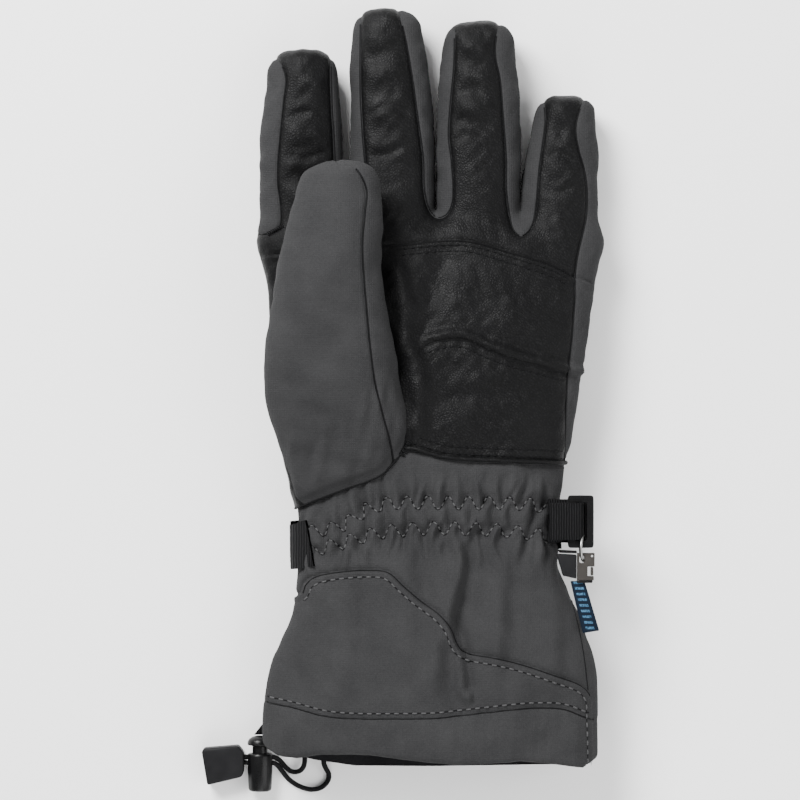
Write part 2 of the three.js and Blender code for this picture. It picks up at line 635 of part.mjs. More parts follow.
const shortStrand = [
  [-49.5, -146.3, 5.6], [-49.5, -148.6, 5.4], [-50.3, -151, 3.8], [-52.2, -152.6, 1.8],
  [-54.8, -152.6, 1.1],
  [-57.2, -150.8, 1.5], [-59.2, -148.2, 3.3], [-61.4, -146.6, 4.9], [-64.4, -146.4, 5.1], [-67.2, -146.4, 5.1],
  [-70, -146.4, 5.1], [-72.6, -146.4, 5.1], [-74.4, -146.4, 5],
];
const longStrand = [
  [-42, -146.5, 3.8], [-42, -148.9, 3.7], [-41.2, -151.2, 2.6], [-40, -153.6, 1.4],
  [-40.4, -156.4, 1], [-43, -159, 1],
  [-47, -159.8, 1], [-51.5, -158.6, 1], [-55.6, -156, 1], [-58.2, -152.8, 2.6], [-60, -150.1, 4.5],
  [-61.8, -148.8, 5.1], [-64.4, -148.7, 5.1], [-67.2, -148.7, 5.1], [-70, -148.7, 5.1], [-72.6, -148.7, 5.1],
  [-74.4, -148.7, 5],
];
piece("drawcord_short", tube(through(shortStrand), CORD_DIAMETER, 8, 18), CORD);
piece("drawcord_long", tube(through(longStrand), CORD_DIAMETER, 8, 26), CORD);

const PULL_HEIGHT = 8.6;
const pullBlank = prism(
  [[-90.2, -144.4], [-88, -157.4], [-74.6, -154.2], [-73.6, -152.6], [-73.6, -144.6],
    [-75.6, -141.8], [-89.6, -142.9]],
  0.2, PULL_HEIGHT);
const pullMouth = block(-76, -150, LOCK.z - 1.3, -73, TOP_STRAND_Y + 1.3, LOCK.z + 1.3);
piece("cord_pull", pullBlank.subtract(pullMouth), BLACK_PLASTIC);

const tapePath = [[-66.6, -134.5], [-63, -136.5], [-66.2, -137.6], [-69.6, -137.6]];
piece("cord_tape", solid(plate(tapePath, [], 1.2, LOCK.z)).subtract(bodyEnvelope(-0.4)), WEBBING);

export default glove;
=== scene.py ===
"""Left-hand ski glove with a gauntlet cuff, lying on its back with the palm up.

Sizes are in millimetres in the glove's own frame: +X from the thumb side to the little finger side,
+Y from the cuff to the fingertips, +Z up out of the palm. Meshes are written out in metres.
"""

from __future__ import annotations

import logging
import math
from dataclasses import dataclass
from enum import Enum
from typing import Callable, Iterable, Sequence

import bmesh
import bpy
import numpy as np
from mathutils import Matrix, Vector
from mathutils.bvhtree import BVHTree

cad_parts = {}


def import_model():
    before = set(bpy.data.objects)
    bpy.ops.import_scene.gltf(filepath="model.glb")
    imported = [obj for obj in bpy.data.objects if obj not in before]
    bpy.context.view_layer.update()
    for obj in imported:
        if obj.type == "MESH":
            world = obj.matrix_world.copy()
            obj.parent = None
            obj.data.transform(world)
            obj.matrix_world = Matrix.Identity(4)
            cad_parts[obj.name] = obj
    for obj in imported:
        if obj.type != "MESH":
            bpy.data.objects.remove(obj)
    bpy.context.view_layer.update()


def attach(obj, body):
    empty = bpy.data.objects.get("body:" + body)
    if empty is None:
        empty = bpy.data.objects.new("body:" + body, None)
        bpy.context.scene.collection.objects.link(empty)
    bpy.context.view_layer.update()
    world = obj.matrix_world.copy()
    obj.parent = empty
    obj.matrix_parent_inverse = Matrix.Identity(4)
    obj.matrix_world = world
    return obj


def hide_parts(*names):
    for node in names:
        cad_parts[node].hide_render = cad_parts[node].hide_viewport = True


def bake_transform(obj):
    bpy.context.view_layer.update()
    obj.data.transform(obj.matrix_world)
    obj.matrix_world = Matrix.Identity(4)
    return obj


Values = np.ndarray
Points = np.ndarray
Field = Callable[[Points], Values]
Outline = Sequence[Sequence[float]]
Pair = tuple[float, float]
Triple = tuple[float, float, float]
Piece = bpy.types.Object
Material = bpy.types.Material
Socket = bpy.types.NodeSocket

LOG = logging.getLogger("glove")
MM = 0.001
FAR = 500.0


# ---- Lines and fields ----


class Axis(Enum):
    """An axis of the frame."""

    X = 0
    Y = 1
    Z = 2


def run_of(line: Points) -> Values:
    """The distance along a line at each of its points."""
    return np.concatenate([[0], np.cumsum(np.linalg.norm(np.diff(line, axis=0), axis=1))])


def evenly(line: Points, step: float) -> Points:
    """Samples a dense line at even distances.

    Args:
        line: The line.
        step: About how far apart the samples are.

    Returns:
        The samples.
    """
    run = run_of(line)
    at = np.linspace(0, run[-1], max(2, round(run[-1] / step) + 1))
    return np.stack([np.interp(at, run, line[:, k]) for k in range(line.shape[1])], axis=1)


def smooth_line(points: Outline, step: float = 1.5, closed: bool = False) -> Points:
    """Runs a Catmull-Rom curve through points.

    Args:
        points: The points, in two or three dimensions.
        step: The distance between the samples.
        closed: Whether the curve joins up with itself.

    Returns:
        The samples, evenly spaced.
    """
    knots = np.asarray(points, float)
    before, after = 2 * knots[:1] - knots[1:2], 2 * knots[-1:] - knots[-2:-1]
    if closed:
        before, after = knots[-1:], knots[:2]
    knots = np.vstack([before, knots, after])
    t = np.linspace(0, 1, 12, endpoint=False)[:, None]
    dense = [0.5 * (2 * b + (c - a) * t
                    + (2 * a - 5 * b + 4 * c - d) * t**2 + (3 * b - a - 3 * c + d) * t**3)
             for a, b, c, d in zip(knots, knots[1:], knots[2:], knots[3:])]
    return evenly(np.vstack([*dense, knots[-2:-1]]), step)


def curve(*numbers: float) -> Points:
    """Runs a smooth line in plan through points given as x, y, x, y and so on."""
    return smooth_line(np.reshape(numbers, (-1, 2)))


def left_of(line: Points) -> Points:
    """The direction to the left at each point of a line in plan."""
    way = np.gradient(line, axis=0)
    return np.stack([-way[:, 1], way[:, 0]], 1) / np.linalg.norm(way, axis=1)[:, None]


def side_of(line: Points, at: Points) -> Values:
    """Measures the signed distance to an open line in plan.

    Args:
        line: The line's points in x and y.
        at: The points to measure, of which x and y are used.

    Returns:
        The distance, positive on the left of the line's direction.
    """
    best, signed = np.full(len(at), FAR), np.full(len(at), FAR)
    x, y = at[:, 0], at[:, 1]
    for (ax, ay), (bx, by) in zip(line[:, :2], line[1:, :2]):
        dx, dy = bx - ax, by - ay
        t = np.clip(((x - ax) * dx + (y - ay) * dy) / (dx * dx + dy * dy), 0, 1)
        far = np.hypot(x - ax - t * dx, y - ay - t * dy)
        closer = far < best - 1e-9
        best = np.where(closer, far, best)
        signed = np.where(closer, np.copysign(far, dx * (y - ay) - dy * (x - ax)), signed)
    return signed


def eased(value: Values, low: float, high: float) -> Values:
    """Rises smoothly from 0 at low to 1 at high."""
    t = np.clip((value - low) / (high - low), 0, 1)
    return t * t * (3 - 2 * t)


def ridge(distance: Values, width: float) -> Values:
    """A rounded ridge, 1 at no distance and falling away over a width."""
    return np.exp(-((distance / width) ** 2))


def soft_union(a: Values, b: Values, blend: float) -> Values:
    """The lower of two fields, rounded where they meet."""
    h = np.clip(0.5 + 0.5 * (b - a) / blend, 0, 1)
    return b + (a - b) * h - blend * h * (1 - h)


def ripples(at: Points, size: float, seed: int, stretch: Pair = (1.0, 1.0)) -> Values:
    """A smooth, repeatable pattern of soft lumps, between about -1 and 1.

    Args:
        at: The points.
        size: The distance across a lump.
        seed: Picks the pattern.
        stretch: How much longer the lumps are along x and y.

    Returns:
        The height of the pattern at each point.
    """
    rng = np.random.default_rng(seed)
    x, y, z = at[:, 0] / stretch[0], at[:, 1] / stretch[1], at[:, 2]
    total = np.zeros(len(at))
    for _ in range(9):
        turn, lean, phase = rng.uniform(0, 2 * np.pi), rng.uniform(-0.6, 0.6), rng.uniform(0, 2 * np.pi)
        rate = 2 * np.pi / (size * rng.uniform(0.75, 1.6))
        total += np.sin(rate * (x * np.cos(turn) + y * np.sin(turn) + z * lean) + phase)
    return total / 3.4


# ---- Skins ----


@dataclass
class Skin:
    """A surface of triangles."""

    points: Points
    faces: Values

    @staticmethod
    def grid(rows: Points) -> Skin:
        """Joins closed rings of points, by ring and place in the ring, into an open tube."""
        index = np.arange(rows.shape[0] * rows.shape[1]).reshape(rows.shape[:2])
        a, b = index[:-1], index[1:]
        c, d = np.roll(a, -1, axis=1), np.roll(b, -1, axis=1)
        a, b, c, d = (v.ravel() for v in (a, b, c, d))
        faces = np.vstack([np.stack([a, b, d], 1), np.stack([a, d, c], 1)])
        return Skin(rows.reshape(-1, 3).astype(float), faces)

    @staticmethod
    def of_field(field: Field, low: Triple, high: Triple, step: float) -> Skin:
        """Wraps the zero level of a field in a skin.

        Args:
            field: Gives a value at each point, negative inside.
            low: The lowest corner to look in.
            high: The highest corner.
            step: The size of a cell.

        Returns:
            The skin, facing out.
        """
        axes = [np.arange(a, b + step, step) for a, b in zip(low, high)]
        shape = np.array([len(a) for a in axes])
        values = field(np.stack(np.meshgrid(*axes, indexing="ij"), -1).reshape(-1, 3)).reshape(shape)
        inside = values < 0
        total, sums = np.zeros(shape - 1), np.zeros([*(shape - 1), 3])
        corners = {at: values[tuple(slice(k, n - 1 + k) for k, n in zip(at, shape))]
                   for at in np.ndindex(2, 2, 2)}
        for first, a in corners.items():
            for axis in (k for k in range(3) if not first[k]):
                b = corners[tuple(v + (k == axis) for k, v in enumerate(first))]
                crossing = (a < 0) != (b < 0)
                share = np.where(crossing, a / np.where(a == b, 1, a - b), 0)
                total += crossing
                for k in range(3):
                    sums[..., k] += np.where(crossing, first[k] + (share if k == axis else 0), 0)
        cells = total > 0
        number = np.full(total.shape, -1)
        number[cells] = np.arange(cells.sum())
        points = (np.argwhere(cells) + sums[cells] / total[cells][:, None]) * step + np.array(low)
        faces = []
        for axis in range(3):
            u, v = (axis + 1) % 3, (axis + 2) % 3
            found = np.argwhere(np.diff(inside, axis=axis))
            keep = (found[:, u] > 0) & (found[:, v] > 0)
            keep &= (found[:, u] < shape[u] - 1) & (found[:, v] < shape[v] - 1)
            found = found[keep]
            ring = []
            for du, dv in ((-1, -1), (0, -1), (0, 0), (-1, 0)):
                at = found.copy()
                at[:, u] += du
                at[:, v] += dv
                ring.append(number[tuple(at.T)])
            a, b, c, d = ring
            flip = ~inside[tuple(found.T)]
            quads = np.where(flip[:, None], np.stack([a, d, c, b], 1), np.stack([a, b, c, d], 1))
            faces += [quads[:, [0, 1, 2]], quads[:, [0, 2, 3]]]
        return Skin(points, np.vstack(faces))

    def edges(self) -> Values:
        """The three edges of each face."""
        return np.vstack([self.faces[:, [0, 1]], self.faces[:, [1, 2]], self.faces[:, [2, 0]]])

    def rim_edges(self) -> Values:
        """The edges that only one face uses, in that face's direction."""
        edges = self.edges()
        key = edges.min(1).astype(np.int64) * (int(self.faces.max()) + 1) + edges.max(1)
        _, first, count = np.unique(key, return_index=True, return_counts=True)
        return edges[first[count == 1]]

    def relaxed(self, rounds: int, strength: float) -> Skin:
        """Evens out the skin.

        Args:
            rounds: How many times each point moves.
            strength: How far it moves towards the mean of its neighbours.

        Returns:
            The evened skin.
        """
        points, edges, count = self.points, self.edges(), len(self.points)
        rim = np.zeros(count, bool)
        rim[self.rim_edges().ravel()] = True
        weight = np.bincount(edges.ravel(), minlength=count).astype(float)
        for _ in range(rounds):
            mean = np.stack([np.bincount(edges[:, 0], points[edges[:, 1], k], count)
                             + np.bincount(edges[:, 1], points[edges[:, 0], k], count) for k in range(3)], 1)
            points = np.where(rim[:, None], points, points + strength * (mean / weight[:, None] - points))
        return Skin(points, self.faces)

    def normals(self) -> Points:
        """The outward direction at each point."""
        a, b, c = (self.points[self.faces[:, k]] for k in range(3))
        cross = np.cross(b - a, c - a)
        total = np.stack([sum(np.bincount(self.faces[:, j], cross[:, k], len(self.points)) for j in range(3))
                          for k in range(3)], 1)
        return total / np.maximum(np.linalg.norm(total, axis=1), 1e-9)[:, None]

    def moved(self, amount: Values) -> Skin:
        """Moves each point by an amount along its normal."""
        return Skin(self.points + self.normals() * amount[:, None], self.faces)

    def above(self, floor: float) -> Skin:
        """Lifts the points that lie lower than a height up to it."""
        return Skin(np.maximum(self.points, (-FAR, -FAR, floor)), self.faces)

    def cut(self, field: Field, levels: Iterable[float] = (0.0,)) -> Skin:
        """Splits the faces that a field's levels cross, so that edges run along each level.

        Args:
            field: Gives a value at each point.
            levels: The levels to cut at.

        Returns:
            The skin with the new edges.
        """
        points, faces = self.points, self.faces
        for level in levels:
            value = field(points) - level
            value = np.where(np.abs(value) < 0.07, np.copysign(0.07, value), value)
            sign = value[faces] > 0
            lone_high = sign.sum(1) == 1
            mixed = lone_high | (sign.sum(1) == 2)
            if not mixed.any():
                continue
            start = np.where(lone_high[mixed][:, None], sign[mixed], ~sign[mixed]).argmax(1)
            part, rows, size = faces[mixed], np.arange(len(start)), len(points)
            a, b, c = (part[rows, (start + k) % 3] for k in range(3))
            keys = np.concatenate([np.minimum(a, end).astype(np.int64) * size + np.maximum(a, end)
                                   for end in (b, c)])
            unique, back = np.unique(keys, return_inverse=True)
            i, j = unique // size, unique % size
            share = (value[i] / (value[i] - value[j]))[:, None]
            points = np.vstack([points, points[i] + (points[j] - points[i]) * share])
            p, q = size + back[:len(a)], size + back[len(a):]
            made = [np.stack(t, 1) for t in ((a, p, q), (p, b, c), (p, c, q))]
            faces = np.vstack([faces[~mixed], *made])
        return Skin(points, faces)

    def split(self, line: Points, *levels: float) -> Skin:
        """Cuts along a line in plan, or at distances beside it."""
        return self.cut(lambda at: side_of(line, at), levels or (0.0,))

    def middles(self) -> Points:
        """The middle of each face."""
        return self.points[self.faces].mean(1)

    def only(self, keep: Values) -> tuple[Skin, Values]:
        """Keeps some of the faces.

        Args:
            keep: Whether each face is kept.

        Returns:
            The smaller skin, and which of the old points it uses.
        """
        used, faces = np.unique(self.faces[keep], return_inverse=True)
        return Skin(self.points[used], faces.reshape(-1, 3)), used

    def flipped(self) -> Skin:
        """The same skin facing the other way."""
        return Skin(self.points, self.faces[:, ::-1])


def joined(skins: Sequence[Skin]) -> Skin:
    """Puts several skins into one."""
    starts = np.cumsum([0] + [len(s.points) for s in skins[:-1]])
    faces = np.vstack([s.faces + n for s, n in zip(skins, starts)])
    return Skin(np.vstack([s.points for s in skins]), faces)


@dataclass(frozen=True)
class Sections:
    """Superellipse sections at stations along y: (y, left, right, low, high)."""

    stations: tuple[tuple[float, float, float, float, float], ...]
    squareness: float = 2.4

    def at(self, y: Values) -> tuple[Values, Values, Values, Values]:
        """Works out the section at each y.

        Args:
            y: The places along the length.

        Returns:
            The middle x, half width, middle z and half height.
        """
        dense = smooth_line(sorted(self.stations), step=0.5)
        order = np.maximum.accumulate(dense[:, 0])
        left, right, low, high = (np.interp(y, order, dense[:, k]) for k in range(1, 5))
        return (left + right) / 2, (right - left) / 2, (low + high) / 2, (high - low) / 2

    def reach(self, at: Points, cap: Pair | None = None) -> Values:
        """Roughly the signed distance outside the sections.

        Args:
            at: The points to measure.
            cap: The y where a rounded end begins and how long it is.

        Returns:
            The distance, negative inside.
        """
        middle, half, height, rise = self.at(at[:, 1])
        total = (np.abs(at[:, 0] - middle) / half) ** self.squareness
        total += (np.abs(at[:, 2] - height) / rise) ** self.squareness
        if cap:
            total += np.clip((at[:, 1] - cap[0]) / cap[1], 0, None) ** 3.8
        return (total ** (1 / self.squareness) - 1) * np.minimum(half, rise)

    def top(self, x: Values, y: Values) -> Values:
        """The height of the upper side at points in plan."""
        middle, half, height, rise = self.at(y)
        away = np.clip(np.abs(x - middle) / half, 0, 1) ** self.squareness
        return height + rise * (1 - away) ** (1 / self.squareness)

    def loft(self, y0: float, y1: float, step: float, sides: int, inset: float = 0.0) -> Skin:
        """Runs an open skin round the sections.

        Args:
            y0: Where it starts.
            y1: Where it ends.
            step: The distance between its rings.
            sides: The number of points in a ring.
            inset: How far it lies inside the sections.

        Returns:
            The skin.
        """
        rows = np.linspace(y0, y1, max(2, round(abs(y1 - y0) / step)) + 1)
        middle, half, height, rise = (v[:, None] for v in self.at(rows))
        dense = np.linspace(0, 2 * np.pi, 721)
        waves = np.stack([np.cos(dense), np.sin(dense)], 1)
        waves = np.sign(waves) * np.abs(waves) ** (2 / self.squareness)
        run = run_of(waves * (1, float(np.mean(rise / half))))
        even = np.linspace(0, run[-1], sides, endpoint=False)
        cx, cz = (np.interp(even, run, waves[:, k]) for k in (0, 1))
        x, z = middle + (half - inset) * cx, height + (rise - inset) * cz
        return Skin.grid(np.stack([x, np.broadcast_to(rows[:, None], x.shape), z], axis=-1)).flipped()


def tube(points: Points, radius: float, sides: int = 10, closed: bool = False) -> Skin:
    """Sweeps a round section along a line.

    Args:
        points: The centreline.
        radius: The section's radius.
        sides: The number of points round it.
        closed: Whether the line joins its own start.

    Returns:
        The closed skin of the tube.
    """
    way = np.roll(points, -1, 0) - np.roll(points, 1, 0) if closed else np.gradient(points, axis=0)
    way /= np.linalg.norm(way, axis=1)[:, None]
    side = np.cross(way[0], (0.13, 0.21, 1.0) if abs(way[0, 2]) < 0.9 else (1.0, 0.1, 0.0))
    turn = np.linspace(0, 2 * np.pi, sides, endpoint=False)[:, None]
    rings = []
    for spot, step in zip(points, way):
        side = side - step * np.dot(side, step)
        side /= np.linalg.norm(side)
        rings.append(spot + radius * (np.cos(turn) * side + np.sin(turn) * np.cross(step, side)))
    if closed:
        return Skin.grid(np.array([*rings, rings[0]])).flipped()
    body = Skin.grid(np.array(rings))
    count, k = len(body.points), np.arange(sides)
    after = (k + 1) % sides
    caps = np.vstack([np.stack([np.full(sides, count), k, after], 1),
                      np.stack([np.full(sides, count + 1), count - sides + after, count - sides + k], 1)])
    ends = np.vstack([body.points, points[:1], points[-1:]])
    return Skin(ends, np.vstack([body.faces, caps[:, ::-1]])).flipped()


# ---- Objects ----


def linked(name: str, data: bpy.types.ID) -> Piece:
    """Puts data into the scene as an object."""
    made = bpy.data.objects.new(name, data)
    bpy.context.scene.collection.objects.link(made)
    return made


def make_object(name: str, skin: Skin, finish: Material, normals: Points | None = None) -> Piece:
    """Makes a smooth object of a skin, in metres.

    Args:
        name: The object's name.
        skin: Its surface.
        finish: Its material.
        normals: The shading normal at each point, where the surface alone doesn't give it.

    Returns:
        The object.
    """
    mesh = bpy.data.meshes.new(name)
    mesh.vertices.add(len(skin.points))
    mesh.vertices.foreach_set("co", (skin.points * MM).astype(np.float32).ravel())
    mesh.loops.add(skin.faces.size)
    mesh.loops.foreach_set("vertex_index", skin.faces.astype(np.int32).ravel())
    mesh.polygons.add(len(skin.faces))
    mesh.polygons.foreach_set("loop_start", np.arange(0, skin.faces.size, 3, dtype=np.int32))
    mesh.polygons.foreach_set("use_smooth", np.full(len(skin.faces), True))
    mesh.update(calc_edges=True)
    mesh.validate()
    mesh.materials.append(finish)
    if normals is not None and len(mesh.vertices) == len(normals):
        mesh.normals_split_custom_set_from_vertices(normals.astype(np.float32).tolist())
    return linked(name, mesh)


def panel(name: str, whole: Skin, keep: Values, thickness: float, finish: Material) -> Piece:
    """Makes a cloth or leather panel of part of a skin, with shading that runs on past its edges.

    Args:
        name: The panel's name.
        whole: The skin that the panel is part of.
        keep: Which faces are in the panel.
        thickness: How thick the panel is.
        finish: Its material.

    Returns:
        The panel.
    """
    outer, used = whole.only(keep)
    way, n = whole.normals()[used], len(used)
    a, b = outer.rim_edges().T
    faces = (outer.faces, outer.faces[:, ::-1] + n,
             np.stack([b, a, a + n], 1), np.stack([b, a + n, b + n], 1))
    body = Skin(np.vstack([outer.points, outer.points - way * thickness]), np.vstack(faces))
    return make_object(name, body, finish, np.vstack([way, -way]))


def finished(name: str, made: bmesh.types.BMesh, edge: float, finish: Material) -> Piece:
    """Rounds a moulded part's sharp edges and turns it into an object.

    Args:
        name: The object's name.
        made: The part, in metres.
        edge: The radius of its edges.
        finish: Its material.

    Returns:
        The object.
    """
    bmesh.ops.recalc_face_normals(made, faces=made.faces[:])
    if edge:
        sharp = [e for e in made.edges if len(e.link_faces) == 2 and e.calc_face_angle(0) > math.radians(32)]
        bmesh.ops.bevel(made, geom=sharp, offset=edge * MM, segments=3, profile=0.5, affect="EDGES",
                        clamp_overlap=True)
    mesh = bpy.data.meshes.new(name)
    made.to_mesh(mesh)
    made.free()
    mesh.polygons.foreach_set("use_smooth", np.full(len(mesh.polygons), True))
    mesh.set_sharp_from_angle(angle=math.radians(38))
    mesh.materials.append(finish)
    return linked(name, mesh)


def plate(name: str, outline: Outline, middle: float, thickness: float, edge: float, finish: Material,
          holes: Sequence[Outline] = (), axis: Axis = Axis.Z) -> Piece:
    """Makes a flat part from an outline, with rounded edges.

    Args:
        name: The object's name.
        outline: The points of its outline, in the two axes across its thickness, in order.
        middle: The middle of its thickness.
        thickness: How thick it is.
        edge: The radius of its edges.
        finish: Its material.
        holes: The outlines of its holes.
        axis: The axis that the thickness is along.

    Returns:
        The object.
    """
    made = bmesh.new()
    for loop in (outline, *holes):
        ends = [made.verts.new(np.insert(np.array(spot), axis.value, middle - thickness / 2) * MM)
                for spot in loop]
        for a, b in zip(ends, ends[1:] + ends[:1]):
            made.edges.new((a, b))
    bmesh.ops.triangle_fill(made, use_beauty=True, edges=made.edges[:])
    grown = bmesh.ops.extrude_face_region(made, geom=made.faces[:])["geom"]
    lift = Vector([thickness * MM * (k == axis.value) for k in range(3)])
    bmesh.ops.translate(made, vec=lift, verts=[v for v in grown if isinstance(v, bmesh.types.BMVert)])
    return finished(name, made, edge, finish)


def turned(name: str, profile: Sequence[Pair], axis: Pair, finish: Material, sides: int = 48) -> Piece:
    """Turns a profile of (y, radius) about an axis along y.

    Args:
        name: The object's name.
        profile: The points of the profile, from the axis to the axis.
        axis: The axis's x and z.
        finish: Its material.
        sides: The number of points round it.

    Returns:
        The object.
    """
    made = bmesh.new()
    turns = [2 * math.pi * k / sides for k in range(sides)]
    rings = [[made.verts.new(((axis[0] + r * math.cos(t)) * MM, y * MM, (axis[1] + r * math.sin(t)) * MM))
              for t in (turns if r > 0 else turns[:1])] for y, r in profile]
    for one, two in zip(rings, rings[1:]):
        for k in range(sides):
            ring = [one[k % len(one)], one[(k + 1) % len(one)], two[(k + 1) % len(two)], two[k % len(two)]]
            corners = list(dict.fromkeys(ring))
            if len(corners) > 2:
                made.faces.new(corners)
    return finished(name, made, 0, finish)


def oval(centre: Pair, half: Pair, count: int = 24, squareness: float = 2.0) -> list[Pair]:
    """The points of an oval or a rounded rectangle, anticlockwise.

    Args:
        centre: Its middle.
        half: Half its width and half its height.
        count: The number of points.
        squareness: 2 for an ellipse, more for squarer.

    Returns:
        The points.
    """
    turns = [2 * math.pi * k / count for k in range(count)]
    return [tuple(c + h * math.copysign(abs(w) ** (2 / squareness), w)
                  for c, h, w in zip(centre, half, (math.cos(t), math.sin(t)))) for t in turns]


def drilled(part: Piece, tool: Piece) -> None:
    """Cuts a tool's shape out of a part and throws the tool away."""
    cut = part.modifiers.new("cut", "BOOLEAN")
    cut.operation, cut.object = "DIFFERENCE", tool
    for solver in ("EXACT", "FAST"):
        cut.solver = solver
        mesh = bpy.data.meshes.new_from_object(part.evaluated_get(bpy.context.evaluated_depsgraph_get()))
        if mesh.polygons:
            break
    part.modifiers.clear()
    part.data = mesh
    bpy.data.objects.remove(tool)


def dress(piece: Piece, body: str | None, slot: str, *replaces: str) -> None:
    """Hangs a piece on the body it rides on, hides the plain solids that it stands for and logs the body.

    Args:
        piece: The piece.
        body: The body it rides on, or None to leave it unattached.
        slot: Not used.
        replaces: The plain solids that it stands for.
    """
    if replaces:
        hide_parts(*replaces)
    if body:
        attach(piece, body)
    LOG.info("%s: on %s", piece.name, body or "two bodies")


def zigzag(row: Points, pitch: float, height: float) -> Points:
    """Swings a line from side to side, with slightly rounded corners.

    Args:
        row: The middle of the zigzag.
        pitch: The length of one swing there and back.
        height: The distance between its two sides.

    Returns:
        The zigzag.
    """
    line = evenly(row, pitch / 2)
    swing = np.where(np.arange(len(line)) % 2 == 0, 0.5, -0.5)[:, None] * height
    return smooth_line(line + left_of(line) * swing, step=0.8)


@dataclass
class Thread:
    """Rows of stitches, laid on surfaces seen from above."""

    skins: Sequence[Skin]
    length: float = 2.3
    pitch: float = 3.2
    radius: float = 0.34
    sunk: float = 0.08

    def __post_init__(self) -> None:
        """Readies the surfaces for dropping points on."""
        self.trees = [BVHTree.FromPolygons(skin.points.tolist(), skin.faces.tolist()) for skin in self.skins]

    def drop(self, x: float, y: float) -> tuple[Values, Values]:
        """Finds the topmost surface under a point in plan.

        Args:
            x: The point's x.
            y: The point's y.

        Returns:
            The place on the surface and the surface's normal there.
        """
        best, up = np.array([x, y, -FAR]), np.array([0.0, 0.0, 1.0])
        for tree in self.trees:
            spot, normal, _, _ = tree.ray_cast(Vector((x, y, 200)), Vector((0, 0, -1)))
            if spot is not None and spot.z > best[2]:
                best, up = np.array(spot), np.array(normal)
        return best, up if up[2] > 0 else -up

    def laid(self, line: Points, step: float = 1.0, sunk: float = 0.1) -> Points:
        """Drops a line onto the surfaces.

        Args:
            line: The line in plan.
            step: The distance between its points.
            sunk: How far under the surface it lies.

        Returns:
            The points that land clear of the floor.
        """
        spots = np.array([self.drop(x, y)[0] for x, y in evenly(line, step)])
        return spots[spots[:, 2] > 3.0] - (0, 0, sunk)

    def row(self, line: Points, start: float) -> Skin:
        """Lays a row of stitches.

        Args:
            line: The line in plan.
            start: How far along it the first stitch is.

        Returns:
            The stitches.
        """
        fine = evenly(line, 0.4)
        run, half = run_of(fine), self.length / 2
        parts = []
        for middle in np.arange(start + half, run[-1] - half, self.pitch):
            ends = [[np.interp(middle + d, run, fine[:, k]) for k in (0, 1)] for d in (-half, 0, half)]
            (a, _), (b, up), (c, _) = (self.drop(*end) for end in ends)
            if min(a[2], b[2], c[2]) > -5:
                parts.append(self.stitch(a, c, up))
        return joined(parts)

    def stitch(self, a: Values, b: Values, up: Values) -> Skin:
        """Makes one stitch.

        Args:
            a: Where it starts on the surface.
            b: Where it ends.
            up: The surface's normal.

        Returns:
            The stitch.
        """
        along = (b - a) / max(1e-6, np.linalg.norm(b - a))
        side = np.cross(up, along)
        side /= max(1e-6, np.linalg.norm(side))
        rise = np.cross(along, side)
        turn = np.linspace(0, 2 * np.pi, 6, endpoint=False)[:, None]
        rings = []
        for share, size in ((0.04, 0.35), (0.2, 0.9), (0.5, 1.0), (0.8, 0.9), (0.96, 0.35)):
            core = a + (b - a) * share + rise * (self.radius * (size - 0.35) - self.sunk)
            rings.append(core + self.radius * size * (np.cos(turn) * side + np.sin(turn) * rise))
        body = Skin.grid(np.array(rings))
        caps = [[0, j, j + 1] for j in range(1, 5)] + [[24, 25 + j, 24 + j] for j in range(1, 5)]
        return Skin(body.points, np.vstack([body.faces, np.array(caps)])).flipped()


# ---- Finishes ----


